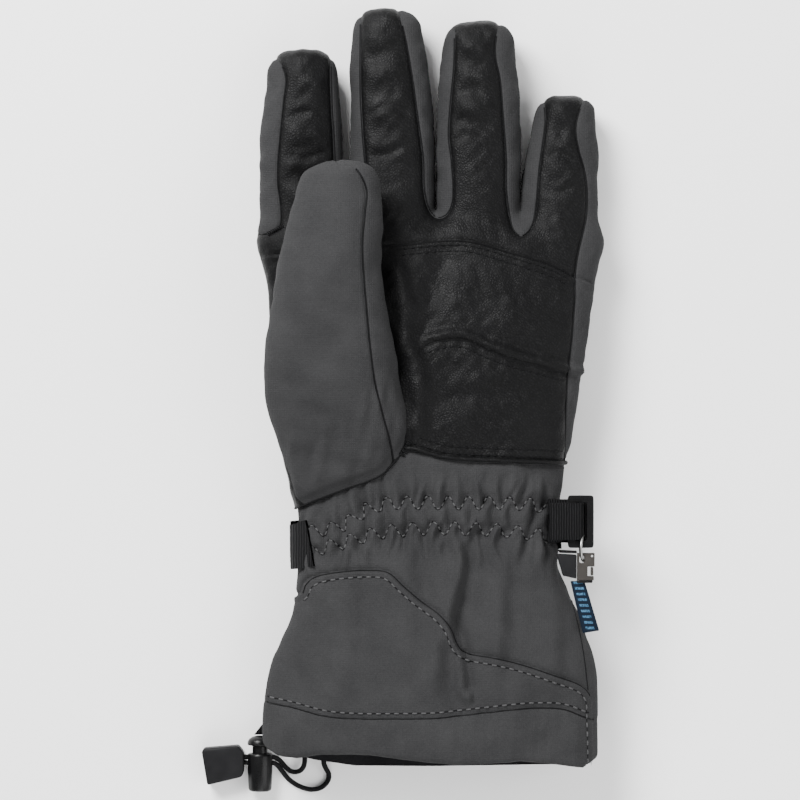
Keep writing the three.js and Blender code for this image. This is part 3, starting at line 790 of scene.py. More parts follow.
class Nodes:
    """A material's node tree, with short ways to add to it."""

    def __init__(self, name: str) -> None:
        """Starts a material with a Principled shader.

        Args:
            name: The material's name.
        """
        self.material = bpy.data.materials.new(name)
        self.material.use_nodes = True
        self.tree = self.material.node_tree
        self.shader = self.tree.nodes["Principled BSDF"]
        place = self.tree.nodes.new("ShaderNodeTexCoord").outputs["Object"]
        self.place = self.add("VectorMath", {0: place, "Scale": 1 / MM}, operation="SCALE")

    def add(self, kind: str, sockets: dict, out: int | str = 0, **options: str) -> Socket:
        """Adds a node.

        Args:
            kind: Its type, without the usual start of the name.
            sockets: What goes into its inputs, as numbers, colours or outputs of other nodes.
            out: Which of its outputs is wanted.
            options: Its other settings.

        Returns:
            The output.
        """
        node = self.tree.nodes.new(f"ShaderNode{kind}")
        for name, value in options.items():
            setattr(node, name, value)
        for name, value in sockets.items():
            if isinstance(value, bpy.types.NodeSocket):
                self.tree.links.new(value, node.inputs[name])
            else:
                node.inputs[name].default_value = value
        return node.outputs[out]

    def set(self, **values: float | tuple[float, ...] | Socket) -> None:
        """Sets the shader's own sockets, named with underscores for spaces."""
        for name, value in values.items():
            socket = self.shader.inputs[name.replace("_", " ")]
            if isinstance(value, bpy.types.NodeSocket):
                self.tree.links.new(value, socket)
            else:
                socket.default_value = value

    def noise(self, size: float, detail: float = 2.0, at: Socket | None = None) -> Socket:
        """Soft noise whose lumps are size millimetres across."""
        return self.add("TexNoise", {"Scale": 1 / size, "Detail": detail, "Vector": at or self.place}, "Fac")

    def cells(self, size: float) -> Socket:
        """The distance to the edges of cells that are size millimetres across."""
        return self.add("TexVoronoi", {"Vector": self.place, "Scale": 1 / size}, "Distance",
                        feature="DISTANCE_TO_EDGE")

    def bands(self, pitch: float, axis: str, distortion: float = 0.0) -> Socket:
        """Even bands across an axis, pitch millimetres apart."""
        return self.add("TexWave", {"Vector": self.place, "Scale": 0.314 / pitch, "Distortion": distortion},
                        "Fac", bands_direction=axis)

    def math(self, kind: str, a: Socket | float, b: Socket | float) -> Socket:
        """Combines two numbers."""
        return self.add("Math", {0: a, 1: b}, operation=kind)

    def ramp(self, value: Socket, low: float, high: float, to: Pair = (0.0, 1.0)) -> Socket:
        """Maps a number from low..high to a new range."""
        return self.add("MapRange", {"Value": value, "From Min": low, "From Max": high, "To Min": to[0],
                                     "To Max": to[1]})

    def blend(self, share: Socket, a: Triple, b: Triple) -> Socket:
        """Mixes two colours by a share."""
        return self.add("Mix", {0: share, 6: (*a, 1), 7: (*b, 1)}, 2, data_type="RGBA")

    def bump(self, *layers: tuple[Socket, float]) -> None:
        """Stacks bumps, each a height and its depth in millimetres."""
        below = {}
        for height, depth in layers:
            sockets = {"Height": height, "Distance": depth * MM, "Strength": 1.0, **below}
            below = {"Normal": self.add("Bump", sockets, "Normal")}
        self.set(**below)


def tinted(colour: Triple, factor: float) -> Triple:
    """A colour made darker or paler."""
    return tuple(c * factor for c in colour)


@dataclass(frozen=True)
class Softshell:
    """Matt grey stretch cloth with a fine, slightly mottled weave."""

    shade: float = 0.0235
    weave: float = 0.55

    def build(self) -> Material:
        """Makes the material.

        Returns:
            The material.
        """
        n = Nodes("softshell")
        mottle = n.math("ADD", n.math("MULTIPLY", n.noise(14, 3), 0.45),
                        n.math("MULTIPLY", n.noise(self.weave, 1), 0.55))
        weave = n.math("MULTIPLY", n.bands(0.7, "X", 1.5), n.bands(0.7, "Y", 1.5))
        n.bump((weave, 0.10), (n.noise(2.6, 3), 0.25))
        n.set(Base_Color=n.blend(n.ramp(mottle, 0.32, 0.68), tinted((0.78, 0.78, 0.81), self.shade),
                                 tinted((1.2, 1.2, 1.23), self.shade)),
              Roughness=0.88, Specular_IOR_Level=0.05, Sheen_Weight=0.01, Sheen_Roughness=0.5)
        return n.material


@dataclass(frozen=True)
class Leather:
    """Black synthetic leather with a pebble grain and mottled tone, painted paler on the pebble tops as
    painted highlight and darker in the grooves as painted shade.
    """

    shade: float = 0.0043
    grain: float = 1.05

    def build(self) -> Material:
        """Makes the material.

        Returns:
            The material.
        """
        n = Nodes("leather")
        height = n.ramp(n.cells(self.grain), 0.0, 0.32)
        # Painted highlight and shade: the colour is paler on the pebble tops and darker in the grooves
        # between them; the broad noise is mottled tone.
        share = n.math("ADD", n.math("MULTIPLY", height, 0.55), n.math("MULTIPLY", n.noise(22, 3), 0.5))
        n.bump((height, 0.08), (n.noise(3.4, 4), 0.26))
        n.set(Base_Color=n.blend(n.ramp(share, 0.25, 0.85), tinted((0.55, 0.55, 0.58), self.shade),
                                 tinted((1.3, 1.3, 1.36), self.shade)),
              Roughness=n.ramp(n.noise(5, 3), 0.3, 0.7, (0.44, 0.58)), Specular_IOR_Level=0.08)
        return n.material


@dataclass(frozen=True)
class Cloth:
    """A plain woven or brushed cloth, or a thread."""

    name: str
    colour: Triple
    pile: float
    depth: float
    rough: float
    sheen: float

    def build(self) -> Material:
        """Makes the material.

        Returns:
            The material.
        """
        n = Nodes(self.name)
        fuzz = n.noise(self.pile, 3)
        n.bump((fuzz, self.depth))
        low, high = tinted(self.colour, 0.6), tinted(self.colour, 1.35)
        n.set(Base_Color=n.blend(n.ramp(fuzz, 0.3, 0.7), low, high),
              Roughness=self.rough, Sheen_Weight=self.sheen, Specular_IOR_Level=0.08)
        return n.material


@dataclass(frozen=True)
class Webbing:
    """Black ribbed tape, its colour painted darker in the grooves between the ribs and paler on them:
    painted shade and painted highlight.
    """

    way: Axis
    pitch: float = 1.0

    def build(self) -> Material:
        """Makes the material.

        Returns:
            The material.
        """
        n = Nodes(f"webbing_{self.way.name.lower()}")
        rib, pick = n.bands(self.pitch, self.way.name, 1.6), n.noise(0.5, 1)
        n.bump((rib, 0.3), (pick, 0.12))
        # The colour follows the rib height: painted shade in the grooves and painted highlight on the ribs,
        # broken up by a fine random tone.
        weave = n.math("MULTIPLY", rib, pick)
        n.set(Base_Color=n.blend(weave, (0.001, 0.001, 0.0012), (0.016, 0.016, 0.017)),
              Roughness=0.72, Specular_IOR_Level=0.08)
        return n.material


@dataclass(frozen=True)
class Moulded:
    """Moulded plastic with a fine spark-eroded texture."""

    name: str
    colour: Triple
    rough: float = 0.42
    gloss: float = 0.2

    def build(self) -> Material:
        """Makes the material.

        Returns:
            The material.
        """
        n = Nodes(self.name)
        speck = n.noise(0.35, 2)
        pale = tuple(c * 1.25 + 0.001 for c in self.colour)
        n.bump((speck, 0.03))
        n.set(Base_Color=n.blend(n.ramp(n.noise(4, 2), 0.3, 0.7), self.colour, pale),
              Roughness=n.ramp(speck, 0.3, 0.7, (self.rough - 0.06, self.rough + 0.1)),
              Specular_IOR_Level=self.gloss)
        return n.material


@dataclass(frozen=True)
class DrawnWire:
    """Drawn steel wire with faint lengthwise marks."""

    dark: Triple = (0.2, 0.2, 0.195)
    pale: Triple = (0.34, 0.34, 0.33)

    def build(self) -> Material:
        """Makes the material.

        Returns:
            The material.
        """
        n = Nodes("drawn_wire")
        mark = n.noise(0.5, 2, n.add("VectorMath", {0: n.place, 1: (3.0, 0.3, 3.0)}, operation="MULTIPLY"))
        n.bump((mark, 0.02))
        n.set(Base_Color=n.blend(mark, self.dark, self.pale), Roughness=n.ramp(mark, 0.3, 0.7, (0.28, 0.42)),
              Metallic=1.0)
        return n.material


@dataclass(frozen=True)
class WovenLabel:
    """Navy woven tape with plain light-blue bars across it, along its slanting middle line."""

    navy: Triple = (0.004, 0.008, 0.016)
    blue: Triple = (0.05, 0.13, 0.22)
    pitch: float = 2.2
    half_bar: float = 1.7
    start: Pair = (57.3, -75.3)
    slope: float = -0.268

    def build(self) -> Material:
        """Makes the material.

        Returns:
            The material.
        """
        n = Nodes("woven_label")
        x, y = (n.math("SUBTRACT", n.add("SeparateXYZ", {0: n.place}, axis), at)
                for axis, at in zip("XY", self.start))
        away = n.math("ABSOLUTE", n.math("SUBTRACT", x, n.math("MULTIPLY", y, self.slope)), 0.0)
        bar = n.math("MULTIPLY", n.ramp(n.bands(self.pitch, "Y"), 0.55, 0.65),
                     n.math("LESS_THAN", away, self.half_bar))
        thread = n.noise(0.45, 1)
        n.bump((n.bands(0.5, "Y", 0.4), 0.12), (thread, 0.08))
        n.set(Base_Color=n.blend(n.math("MULTIPLY", bar, n.ramp(thread, 0.3, 0.6)), self.navy, self.blue),
              Roughness=0.75, Specular_IOR_Level=0.08)
        return n.material


@dataclass(frozen=True)
class Braid:
    """Braided cord with a slanting weave, its colour darker between the braid's bumps and paler on them:
    painted shade and painted highlight.
    """

    colour: Triple = (0.0035, 0.0035, 0.004)

    def build(self) -> Material:
        """Makes the material.

        Returns:
            The material.
        """
        n = Nodes("braid")
        weave = n.cells(0.62)
        n.bump((n.ramp(weave, 0.0, 0.35), 0.22))
        # Painted shade and highlight: the colour follows the bumps of the braid, darker between them.
        low, high = tinted(self.colour, 0.4), tinted(self.colour, 2.6)
        n.set(Base_Color=n.blend(n.ramp(weave, 0.0, 0.4), low, high),
              Roughness=0.6, Specular_IOR_Level=0.12)
        return n.material


class Kit:
    """Every finish, built once."""

    def __init__(self) -> None:
        """Builds the materials."""
        self.softshell = Softshell().build()
        self.leather = Leather().build()
        self.fleece = Cloth("fleece", (0.01, 0.01, 0.011), 1.6, 0.7, 0.95, 0.06).build()
        self.wadding = Cloth("wadding", (0.6, 0.6, 0.58), 2.0, 0.8, 0.95, 0.1).build()
        self.taffeta = Cloth("cuff_taffeta", (0.005, 0.005, 0.006), 0.6, 0.12, 0.55, 0.02).build()
        self.webbing = Webbing(Axis.X).build()
        self.black = Moulded("black_plastic", (0.0018, 0.0018, 0.002), 0.3).build()
        self.pull = Moulded("cord_pull_rubber", (0.006, 0.006, 0.0066), 0.5, 0.1).build()
        self.grey = Moulded("grey_plastic", (0.026, 0.0238, 0.0218), 0.4, 0.12).build()
        self.wire = DrawnWire().build()
        self.label = WovenLabel().build()
        self.cord = Braid().build()
        self.thread = Cloth("thread_grey", (0.05, 0.05, 0.051), 0.3, 0.05, 0.6, 0.0).build()
        # Black thread, also used for the thin dark lines of painted shade in the seams and under the
        # stitches.
        self.black_thread_and_shade = Cloth("black_thread_and_shade", (0.003, 0.003, 0.0033), 0.3, 0.05, 0.55, 0.0).build()


# ---- The glove's shape ----

CROTCH_SPLIT = 72.0
WRIST_Y = -28.0
CUFF_LINING_TOP = -25.0

PALM = Sections((
    (66, -65.0, 66.0, 1.0, 28.0), (50, -64.2, 65.4, -0.5, 32.0), (34, -63.4, 63.8, -1.2, 35.0),
    (18, -62.5, 61.2, -1.2, 36.6), (2, -60.0, 58.6, -0.8, 37.6), (-13, -57.2, 56.4, 0.4, 38.2),
    (-28, -54.6, 53.4, 2.4, 38.4), (-40, -53.4, 52.4, 3.8, 37.8)), squareness=2.6)
CUFF = Sections((
    (-20, -55.4, 54.4, 1.6, 38.2), (-28, -54.6, 53.4, 2.4, 38.4), (-40, -53.2, 51.6, 3.8, 37.8),
    (-52, -52.6, 49.4, 4.6, 37.4), (-66, -52.4, 49.8, 4.6, 37.8), (-78, -51.8, 53.0, 3.4, 38.6),
    (-88, -52.2, 57.2, 1.8, 39.2), (-98, -56.6, 61.0, 0.4, 39.8), (-108, -61.6, 64.6, -0.6, 39.8),
    (-120, -64.4, 65.8, -1.0, 39.4), (-134, -65.2, 65.8, -1.0, 38.8), (-154, -65.0, 65.6, -1.0, 38.0)),
    squareness=2.6)
THUMB = Sections((
    (-60, -53.0, -8.0, 6.0, 36.0), (-47, -53.6, -7.0, 8.0, 38.6), (-32, -56.4, -6.0, 10.0, 43.0),
    (-19, -60.2, -6.6, 12.0, 48.5), (-6, -63.6, -9.4, 16.0, 53.5), (8, -64.6, -12.8, 21.0, 57.0),
    (25, -62.6, -16.0, 27.0, 59.5), (42, -60.4, -17.9, 31.0, 60.6), (54, -57.6, -18.6, 32.0, 60.6),
    (66, -54.4, -18.2, 33.0, 59.8), (76, -51.6, -18.6, 34.0, 58.6), (90, -49.6, -20.0, 35.0, 57.0)),
    squareness=2.25)

# Where the leather of the front meets the softshell between the fingers: down one side of a valley,
# round its foot and up the other side.
VALLEYS = (
    curve(-38.6, 132, -38.8, 124, -38.4, 110, -37.6, 98, -37, 84, -36.6, 74, -34.4, 67.5, -31, 66,
          -27.4, 67.6, -25.6, 74, -25.4, 86, -26.4, 98, -27.3, 115, -27.4, 132, -27.3, 147),
    curve(-12.4, 149, -10.5, 141, -8.8, 133, -6.8, 121, -4.6, 105, -2.6, 90, -2.2, 78, -0.4, 70.4,
          3.1, 66.6, 7.2, 68.6, 9, 75, 8.4, 88, 7.2, 99, 8, 112, 9.3, 126, 9.6, 140),
    curve(27.4, 143.5, 25.9, 136, 25.8, 129, 27.6, 120, 28.7, 106, 29.9, 90, 30, 77, 31.4, 66.4,
          32.8, 61.4, 35.6, 59.2, 38.6, 61.2, 40.6, 65.6, 41.8, 74, 42.7, 85, 44.2, 96, 45.2, 104,
          44.8, 113))
INDEX_OUTER = curve(-62.6, 131.5, -58.6, 127, -56.4, 121, -57.2, 113, -58.2, 103, -59.4, 90, -59.6, 80,
                    -58.4, 71, -58.6, 63.4, -62, 60.6, -69, 60)
LITTLE_OUTER = curve(62.8, 117.5, 60.8, 113.5, 58.2, 107, 57.2, 100.6, 58.4, 93, 60.4, 86, 61.6, 78,
                     61.4, 68, 59.8, 60, 58, 52.6, 56.8, 44, 56.4, 32, 55, 16, 53.6, 3, 53, -10, 52.8, -26,
                     52.6, -40)
FINGER_CREASES = (
    curve(9.5, 103.5, 14, 105.6, 20, 103.2, 28, 98.6), curve(10, 97, 16, 98.6, 24, 94),
    curve(-24, 107, -17, 109.6, -9, 108), curve(-26, 92, -19, 91, -9, 94.6), curve(-56, 106, -49, 108,
                                                                                   -40, 106.6),
    curve(45.5, 90, 50, 92, 57, 88.6), curve(-57, 91, -50, 89.6, -41, 92), curve(44, 78, 50, 76.6, 59, 80))
OVERLAY_TOP = curve(-70, 50.5, -50, 52.6, -30, 54.2, -11.7, 55.3, 5, 57, 15, 56.7, 22, 55.2, 30, 52.8,
                    38.6, 50.2, 47, 47.6, 55.4, 43.6, 70, 38)
OVERLAY_BOTTOM = curve(-3.1, 15.6, 3.9, 17.8, 13, 18.2, 21.8, 14.4, 31.2, 10.8, 45.2, 7.2, 53.4, 5, 70, 2)
OVERLAY_SIDE = curve(4.6, 56, 4.3, 48, 1.2, 38, -1.6, 27.6, -3.1, 19, -3.3, 0, -3.4, -13, -6, -18.5,
                     -8.6, -24)
GUSSET_PUFFS = ((curve(-12.5, 44, -9.5, 30.5, -9.5, 17), 4.2), (curve(-6.6, 11, -4.5, -2, -5.4, -15), 3.8))
PALM_BORDER = curve(-80, -20, -50, -21, -24, -22.4, -10.5, -23.6, -6.2, -23.8, -1.6, -25.2, 5.1, -27,
                    15.2, -27.9, 28.5, -28.4, 42, -29, 52.3, -29.6, 80, -30.4)
THUMB_SEAM = curve(-37, 90, -35.1, 85.4, -29.8, 84.6, -26.4, 80.6, -24.5, 75, -25.2, 66, -26.1, 55,
                   -25.6, 43, -24.4, 29, -23.2, 16, -21.4, 2.5, -18.3, -10.7, -15.2, -22.8, -13.6, -34)
THUMB_BASE = curve(-66, -52, -57, -49.2, -51.9, -47.2, -42.5, -43.4, -34.3, -40.2, -24.2, -36.6,
                   -17.9, -33.4, -12.9, -28, -9.4, -23.2, -4, -16, 4, -8)
GAUNTLET_SEAM = curve(-80, -86, -60, -83.5, -50.5, -81, -48.2, -76.6, -43.7, -73.6, -33.5, -71.7,
                      -24.2, -71.2, -16.4, -72, -10.5, -77.2, -3.9, -82.9, 3.2, -88, 7.8, -93.4,
                      10.6, -100.2, 14.6, -103.4, 25.4, -105.2, 38.2, -108.6, 49.5, -112.6, 58.5, -116.2,
                      62.6, -120.8, 63.4, -127, 64, -150)
HEM_SEAM = curve(-80, -120, -64.4, -122.8, -54, -124.4, -42.5, -127.4, -33.5, -128.4, -18.7, -128.6,
                 -1.2, -128.4, 10, -127.6, 21.8, -126.2, 33, -125, 42, -124.6, 52.3, -125.4, 62.4, -129.4,
                 80, -134)
CUFF_SIDE = curve(51.2, -66, 53, -73.3, 55.6, -84, 58.2, -94.5, 60.2, -106, 61.6, -118)
CUFF_CREASE = curve(16.5, -57, 15.4, -64, 15, -72, 12.6, -82, 11, -92, 14.2, -103, 15.6, -116)
CUFF_SAG = curve(12, -84, 9, -98, 7.6, -112, 9.5, -124)
ELASTIC_ROWS = (
    curve(-53, -59, -44.5, -55.6, -38.5, -55, -31.6, -52.4, -26.5, -48.2, -20, -45.6, -12.5, -44.8,
          0, -44.8, 15, -44.9, 30, -44.9, 38, -45.4, 46, -46.8, 54, -49.5),
    curve(-54, -66, -46, -63.6, -40, -62, -32, -59.8, -24, -57.4, -18.7, -56.2, -8, -55.2, 5, -54.6,
          20, -55, 36, -56.6, 44, -58, 54, -60))
ZIGZAGS = tuple(zigzag(row, 8.0, 5.6) for row in ELASTIC_ROWS)
HEM_FRONT = np.reshape((-68, -138, -64, -141.4, -60, -143.6, -52, -144.4, -42, -142.8, -24, -142.8, -6, -145,
                        10, -146.6, 22, -146.2, 35, -145.4, 50, -147, 60, -148.4, 67, -145), (-1, 2)).T
HEM_BACK = np.reshape((-68, -138, -64, -141.6, -58, -144.4, -46, -147.6, -30, -150.2, 0, -150.4, 30, -150,
                       55, -149.2, 62, -148.8, 67, -145), (-1, 2)).T


def base_top(x: Values, y: Values) -> Values:
    """The height of the palm's or the wrist's upper side at points in plan."""
    share = eased(y, WRIST_Y - 6, WRIST_Y + 6)
    return PALM.top(x, y) * share + CUFF.top(x, y) * (1 - share)


@dataclass(frozen=True)
class Finger:
    """A finger: its sections, its rounded tip, its middle joint and the valleys beside it."""

    name: str
    sections: Sections
    cap: Pair
    hinge: float
    left: float
    right: float
    room: float = 11.0

    def holds(self, x: Values) -> Values:
        """Whether each x is between the valleys beside the finger."""
        return (x > self.left) & (x < self.right)

    def bend(self, piece: Piece) -> None:
        """Bakes a piece of the finger's transform into its mesh."""
        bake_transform(piece)


FINGERS = (
    Finger("index", Sections((
        (30, -66.0, -34.0, 2.0, 28.0), (60, -66.4, -34.4, 2.0, 27.4), (88, -66.6, -34.4, 1.2, 26.6),
        (104, -66.2, -34.8, 1.0, 26.0), (118, -64.2, -36.0, 1.4, 25.0), (140, -61.0, -38.0, 2.0, 23.6),
    )), (122.0, 11.2), 95.0, -FAR, -33.2),
    Finger("middle", Sections((
        (30, -31.4, 1.6, 2.0, 28.0), (60, -31.4, 1.6, 2.0, 27.8), (96, -31.0, 1.4, 1.2, 27.0),
        (112, -30.8, 0.6, 1.0, 26.4), (128, -31.0, -1.2, 1.2, 25.4), (152, -29.0, -6.0, 2.0, 23.6),
    )), (138.0, 11.4), 102.0, -33.2, 2.4),
    Finger("ring", Sections((
        (30, 3.0, 35.0, 2.0, 27.6), (60, 3.0, 35.2, 2.0, 27.2), (96, 3.2, 35.4, 1.2, 26.8),
        (112, 3.6, 35.2, 1.0, 26.2), (126, 4.4, 34.2, 1.2, 25.0), (148, 7.6, 31.6, 2.0, 23.4),
    )), (133.0, 11.6), 97.0, 2.4, 36.2),
    Finger("little", Sections((
        (24, 34.6, 65.4, 2.0, 26.6), (60, 35.4, 66.0, 2.0, 26.0), (78, 36.4, 66.0, 1.4, 25.2),
        (92, 38.6, 66.0, 1.2, 24.2), (102, 40.6, 65.6, 1.2, 23.2), (120, 44.0, 64.0, 2.0, 21.4),
    )), (105.0, 10.2), 84.0, 36.2, FAR),
)


# ---- The glove ----


@dataclass
class Hand:
    """The palm, the back and the four fingers."""

    kit: Kit
    cell: float = 1.15
    leather: float = 1.2
    cloth: float = 1.4
    back_seam: float = 7.6

    def field(self, at: Points) -> Values:
        """The distance outside the hand: a palm with four fingers let into it."""
        fingers = None
        for finger in FINGERS:
            reach = finger.sections.reach(at, cap=finger.cap) + 7.0 * (1 - eased(at[:, 1], 32, 60)) - 0.1
            reach = np.maximum(reach, 36.0 - at[:, 1])
            fingers = reach if fingers is None else soft_union(fingers, reach, 0.9)
        return soft_union(PALM.reach(at, cap=(52.0, 15.0)), fingers, 5.0)

    def equator(self, at: Points) -> Values:
        """The height that parts the front of the hand from its back."""
        return 14.0 + 4.0 * eased(-at[:, 1], -70, -20)

    def leather_edge(self, at: Points) -> Values:
        """The distance inside the leather of the front, negative on the softshell."""
        edge = side_of(INDEX_OUTER, at)
        for line in (*VALLEYS, LITTLE_OUTER):
            edge = np.minimum(edge, -side_of(line, at))
        wrap = sum(f.holds(at[:, 0]) * 6.0 * eased(at[:, 1], f.cap[0] - 4, f.cap[0] + 8) for f in FINGERS)
        return np.minimum(edge, at[:, 2] - self.equator(at) + wrap)

    def back_edge(self, at: Points) -> Values:
        """The distance above the seam between the side strips and the back."""
        return at[:, 2] - self.back_seam

    def relief(self, at: Points) -> Values:
        """Works out how far the sewn and stuffed surface stands out from the plain one.

        Args:
            at: The points.

        Returns:
            The height at each point.
        """
        y = at[:, 1]
        front = eased(at[:, 2] - self.equator(at), 0, 6)
        leather = self.leather_edge(at)
        top, foot, side = (side_of(line, at) for line in (OVERLAY_TOP, OVERLAY_BOTTOM, OVERLAY_SIDE))
        border = side_of(PALM_BORDER, at)
        seams = -0.65 * ridge(leather, 0.9) + 0.3 * eased(np.abs(leather), 0.5, 5)
        seams += -0.5 * ridge(self.back_edge(at), 0.9)
        overlay = eased(-top, -0.2, 0.6) * eased(side, -4.0, 3.0)
        sewn = 0.7 * overlay - 0.55 * ridge(top - 0.5, 0.7) - 0.35 * ridge(top + 2.9, 1.0)
        fold = 1.5 * ridge(foot - 2.2, 1.9) - 0.8 * ridge(foot, 0.9) - 0.4 * ridge(foot - 5.4, 1.5)
        sewn += eased(side, -2, 3) * fold
        sewn += eased(-top, -1, 8) * (-1.5 * ridge(side - 1.0, 4.2) * eased(y, 4, 22))
        sewn += -0.5 * ridge(border - 0.8, 0.9) - 0.25 * ridge(border - 3.4, 0.9)
        sewn += sum(3.0 * ridge(side_of(line, at), width) for line, width in GUSSET_PUFFS)
        sewn += 0.35 * ripples(at, 12, 12, stretch=(2.2, 0.9)) * eased(-y, -50, -20)
        creases = ripples(at, 9, 8, stretch=(3.2, 1.0)) * eased(y, 66, 84)
        soft = 0.32 * ripples(at, 17, 3) + 0.16 * ripples(at, 6.5, 5) + (0.08 + 0.42 * front) * creases
        soft += sum(front * -0.8 * ridge(side_of(line, at), 1.5) for line in FINGER_CREASES)
        return seams + front * sewn + eased(np.abs(leather), 1, 6) * soft

    def sew(self, name: str, skin: Skin, keep: Values, node: str, slot: str,
            digit: Finger | None = None) -> None:
        """Makes a panel of the hand.

        Args:
            name: The panel's name.
            skin: The hand's skin.
            keep: Which faces are in it.
            node: The plain solid that it stands for.
            slot: Its finish, leather or softshell.
            digit: The finger that it belongs to.
        """
        thickness = self.cloth if slot == "softshell" and not digit else self.leather
        finish = self.kit.leather if slot == "leather" else self.kit.softshell
        piece = panel(name, skin, keep, thickness, finish)
        dress(piece, None if digit else "hand", slot, node)
        if digit:
            digit.bend(piece)

    def build(self) -> Skin:
        """Makes the hand's pieces.

        Returns:
            The whole skin, for stitches to lie on.
        """
        skin = Skin.of_field(self.field, (-71, -37, -3), (71, 153, 44), self.cell)
        skin = skin.relaxed(3, 0.45).above(0.05)
        skin = skin.cut(self.leather_edge, (-1.0, 0.0, 1.0)).cut(self.back_edge, (-0.8, 0.0, 0.8))
        skin = skin.split(OVERLAY_TOP, -0.7, 0.0, 0.8).split(OVERLAY_BOTTOM, -0.7, 0.0, 0.8)
        skin = skin.split(OVERLAY_SIDE).split(PALM_BORDER, 0.0, 1.2).cut(lambda at: at[:, 1] - CROTCH_SPLIT)
        at = skin.middles()
        skin = skin.moved(self.relief(skin.points)).above(0.0)
        wrist, finger = side_of(PALM_BORDER, at) > 0, at[:, 1] > CROTCH_SPLIT
        leather, back = (self.leather_edge(at) > 0) & wrist, (self.back_edge(at) < 0) & wrist
        strip = wrist & ~leather & ~back
        top, foot, side = (side_of(line, at) for line in (OVERLAY_TOP, OVERLAY_BOTTOM, OVERLAY_SIDE))
        overlay = (top < 0) & (side > 0)
        for name, keep, node in (
            ("palm_leather_front", top > 0, "palm_leather"),
            ("palm_overlay_panel", overlay & (foot >= 0), "palm_overlay"),
            ("palm_heel_patch", overlay & (foot < 0), "palm_heel"),
            ("thumb_gusset_panel", (top < 0) & (side <= 0), "thumb_gusset"),
        ):
            self.sew(name, skin, leather & ~finger & keep, node, "leather")
        self.sew("back_of_hand", skin, back & ~finger, "back_panel", "softshell")
        for name, node, low, high in (
            ("index_side_cloth", "index_side_panel", -FAR, -50),
            ("crotch_index_middle", "fourchette_index_middle", -50, -15),
            ("crotch_middle_ring", "fourchette_middle_ring", -15, 19),
            ("crotch_ring_little", "fourchette_ring_little", 19, 50),
            ("little_side_cloth", "little_side_panel", 50, FAR),
        ):
            self.sew(name, skin, strip & ~finger & (at[:, 0] > low) & (at[:, 0] < high), node, "softshell")
        for digit in FINGERS:
            here = finger & digit.holds(at[:, 0])
            for part, keep in (("leather", leather), ("fourchette", strip), ("back", back)):
                self.sew(f"{digit.name}_{part}_shell", skin, here & keep, f"{digit.name}_tip_{part}",
                         "leather" if part == "leather" else "softshell", digit)
        return skin


@dataclass
class Thumb:
    """The thumb, folded over the palm and sewn to it along a slanting seam."""

    kit: Kit
    cell: float = 1.1
    cloth: float = 1.4
    cap: Pair = (75.0, 12.4)
    rise: float = 26.0
    run: float = 15.0
    hinge: Pair = (-30.0, -33.5)
    bend_way: Pair = (-0.4472, 0.8944)
    bend_run: float = 16.0

    def past_seam(self, at: Points) -> Values:
        """The distance past the base seam, towards the tip."""
        return side_of(THUMB_BASE, at)

    def field(self, at: Points) -> Values:
        """Works out the distance outside the thumb, which rests on the palm and starts flush at its seam.

        Args:
            at: The points.

        Returns:
            The distance, negative inside.
        """
        palm = np.minimum(PALM.reach(at, cap=(52.0, 15.0)), CUFF.reach(at) + 50 * (at[:, 1] > -20))
        past = self.past_seam(at)
        climb = self.rise * (1 - np.exp(-np.clip(past, 0, None) / self.run))
        lid = at[:, 2] - (base_top(at[:, 0], at[:, 1]) + 0.8 + climb) - 30.0 * eased(past, 26, 46)
        capped = -soft_union(-THUMB.reach(at, cap=self.cap), -lid, 5.0)
        return np.maximum(capped, 0.5 - palm - 7.0 * (1 - eased(past, 8, 26)))

    def relief(self, at: Points) -> Values:
        """Works out how far the sewn surface stands out from the plain one.

        Args:
            at: The points.

        Returns:
            The height at each point.
        """
        seam, base, middle = side_of(THUMB_SEAM, at), self.past_seam(at), at[:, 2] - self.equator(at)
        pull = eased(base, 1, 9) * (1 - eased(base, 16, 34))
        over = -0.7 * ridge(seam, 0.9) - 0.25 * ridge(seam + 2.4, 1.0) - 0.45 * ridge(base - 2.2, 1.1)
        over += pull * 0.55 * ripples(at, 7.5, 21, stretch=(1.0, 2.6)) + 0.45 * ripples(at, 24, 22)
        fine = 0.2 * ripples(at, 9, 23, stretch=(1.6, 1.0))
        return eased(middle, -2, 4) * over - 0.5 * ridge(middle, 0.9) + fine

    def equator(self, at: Points) -> Values:
        """The height that parts the softshell of the thumb from its leather underside."""
        return np.interp(at[:, 1], (-48, -20, 10, 50, 90), (30.0, 30.0, 37.0, 43.0, 44.0))

    def build(self) -> Skin:
        """Makes the thumb's pieces.

        Returns:
            The whole skin, for stitches to lie on.
        """
        skin = Skin.of_field(self.field, (-70, -56, 8), (6, 92, 66), self.cell)
        skin = skin.relaxed(4, 0.45).split(THUMB_BASE)
        skin, _ = skin.only(self.past_seam(skin.middles()) > 0)
        skin = skin.split(THUMB_SEAM, -0.8, 0.0, 0.8)
        skin = skin.cut(lambda at: at[:, 2] - self.equator(at), (-0.8, 0.0, 0.8)).split(THUMB_BASE, 1.2)
        at = skin.middles()
        skin = skin.moved(self.relief(skin.points))
        over = at[:, 2] > self.equator(at)
        strip = over & (side_of(THUMB_SEAM, at) > 0)
        for name, keep, finish, slot, node in (
            ("thumb_front_shell", over & ~strip, self.kit.softshell, "softshell", "thumb_front"),
            ("thumb_strip_shell", strip, self.kit.softshell, "softshell", "thumb_side_strip"),
            ("thumb_under_shell", ~over, self.kit.leather, "leather", "thumb_underside"),
        ):
            piece = panel(name, skin, keep, self.cloth, finish)
            dress(piece, None, slot, node)
            self.bend(piece)
        return skin

    def bend(self, piece: Piece) -> None:
        """Bakes a piece of the thumb's transform into its mesh; the bend line it works out is not used."""
        start = np.array(self.hinge)
        end = start + np.array(self.bend_way) * self.bend_run
        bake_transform(piece)


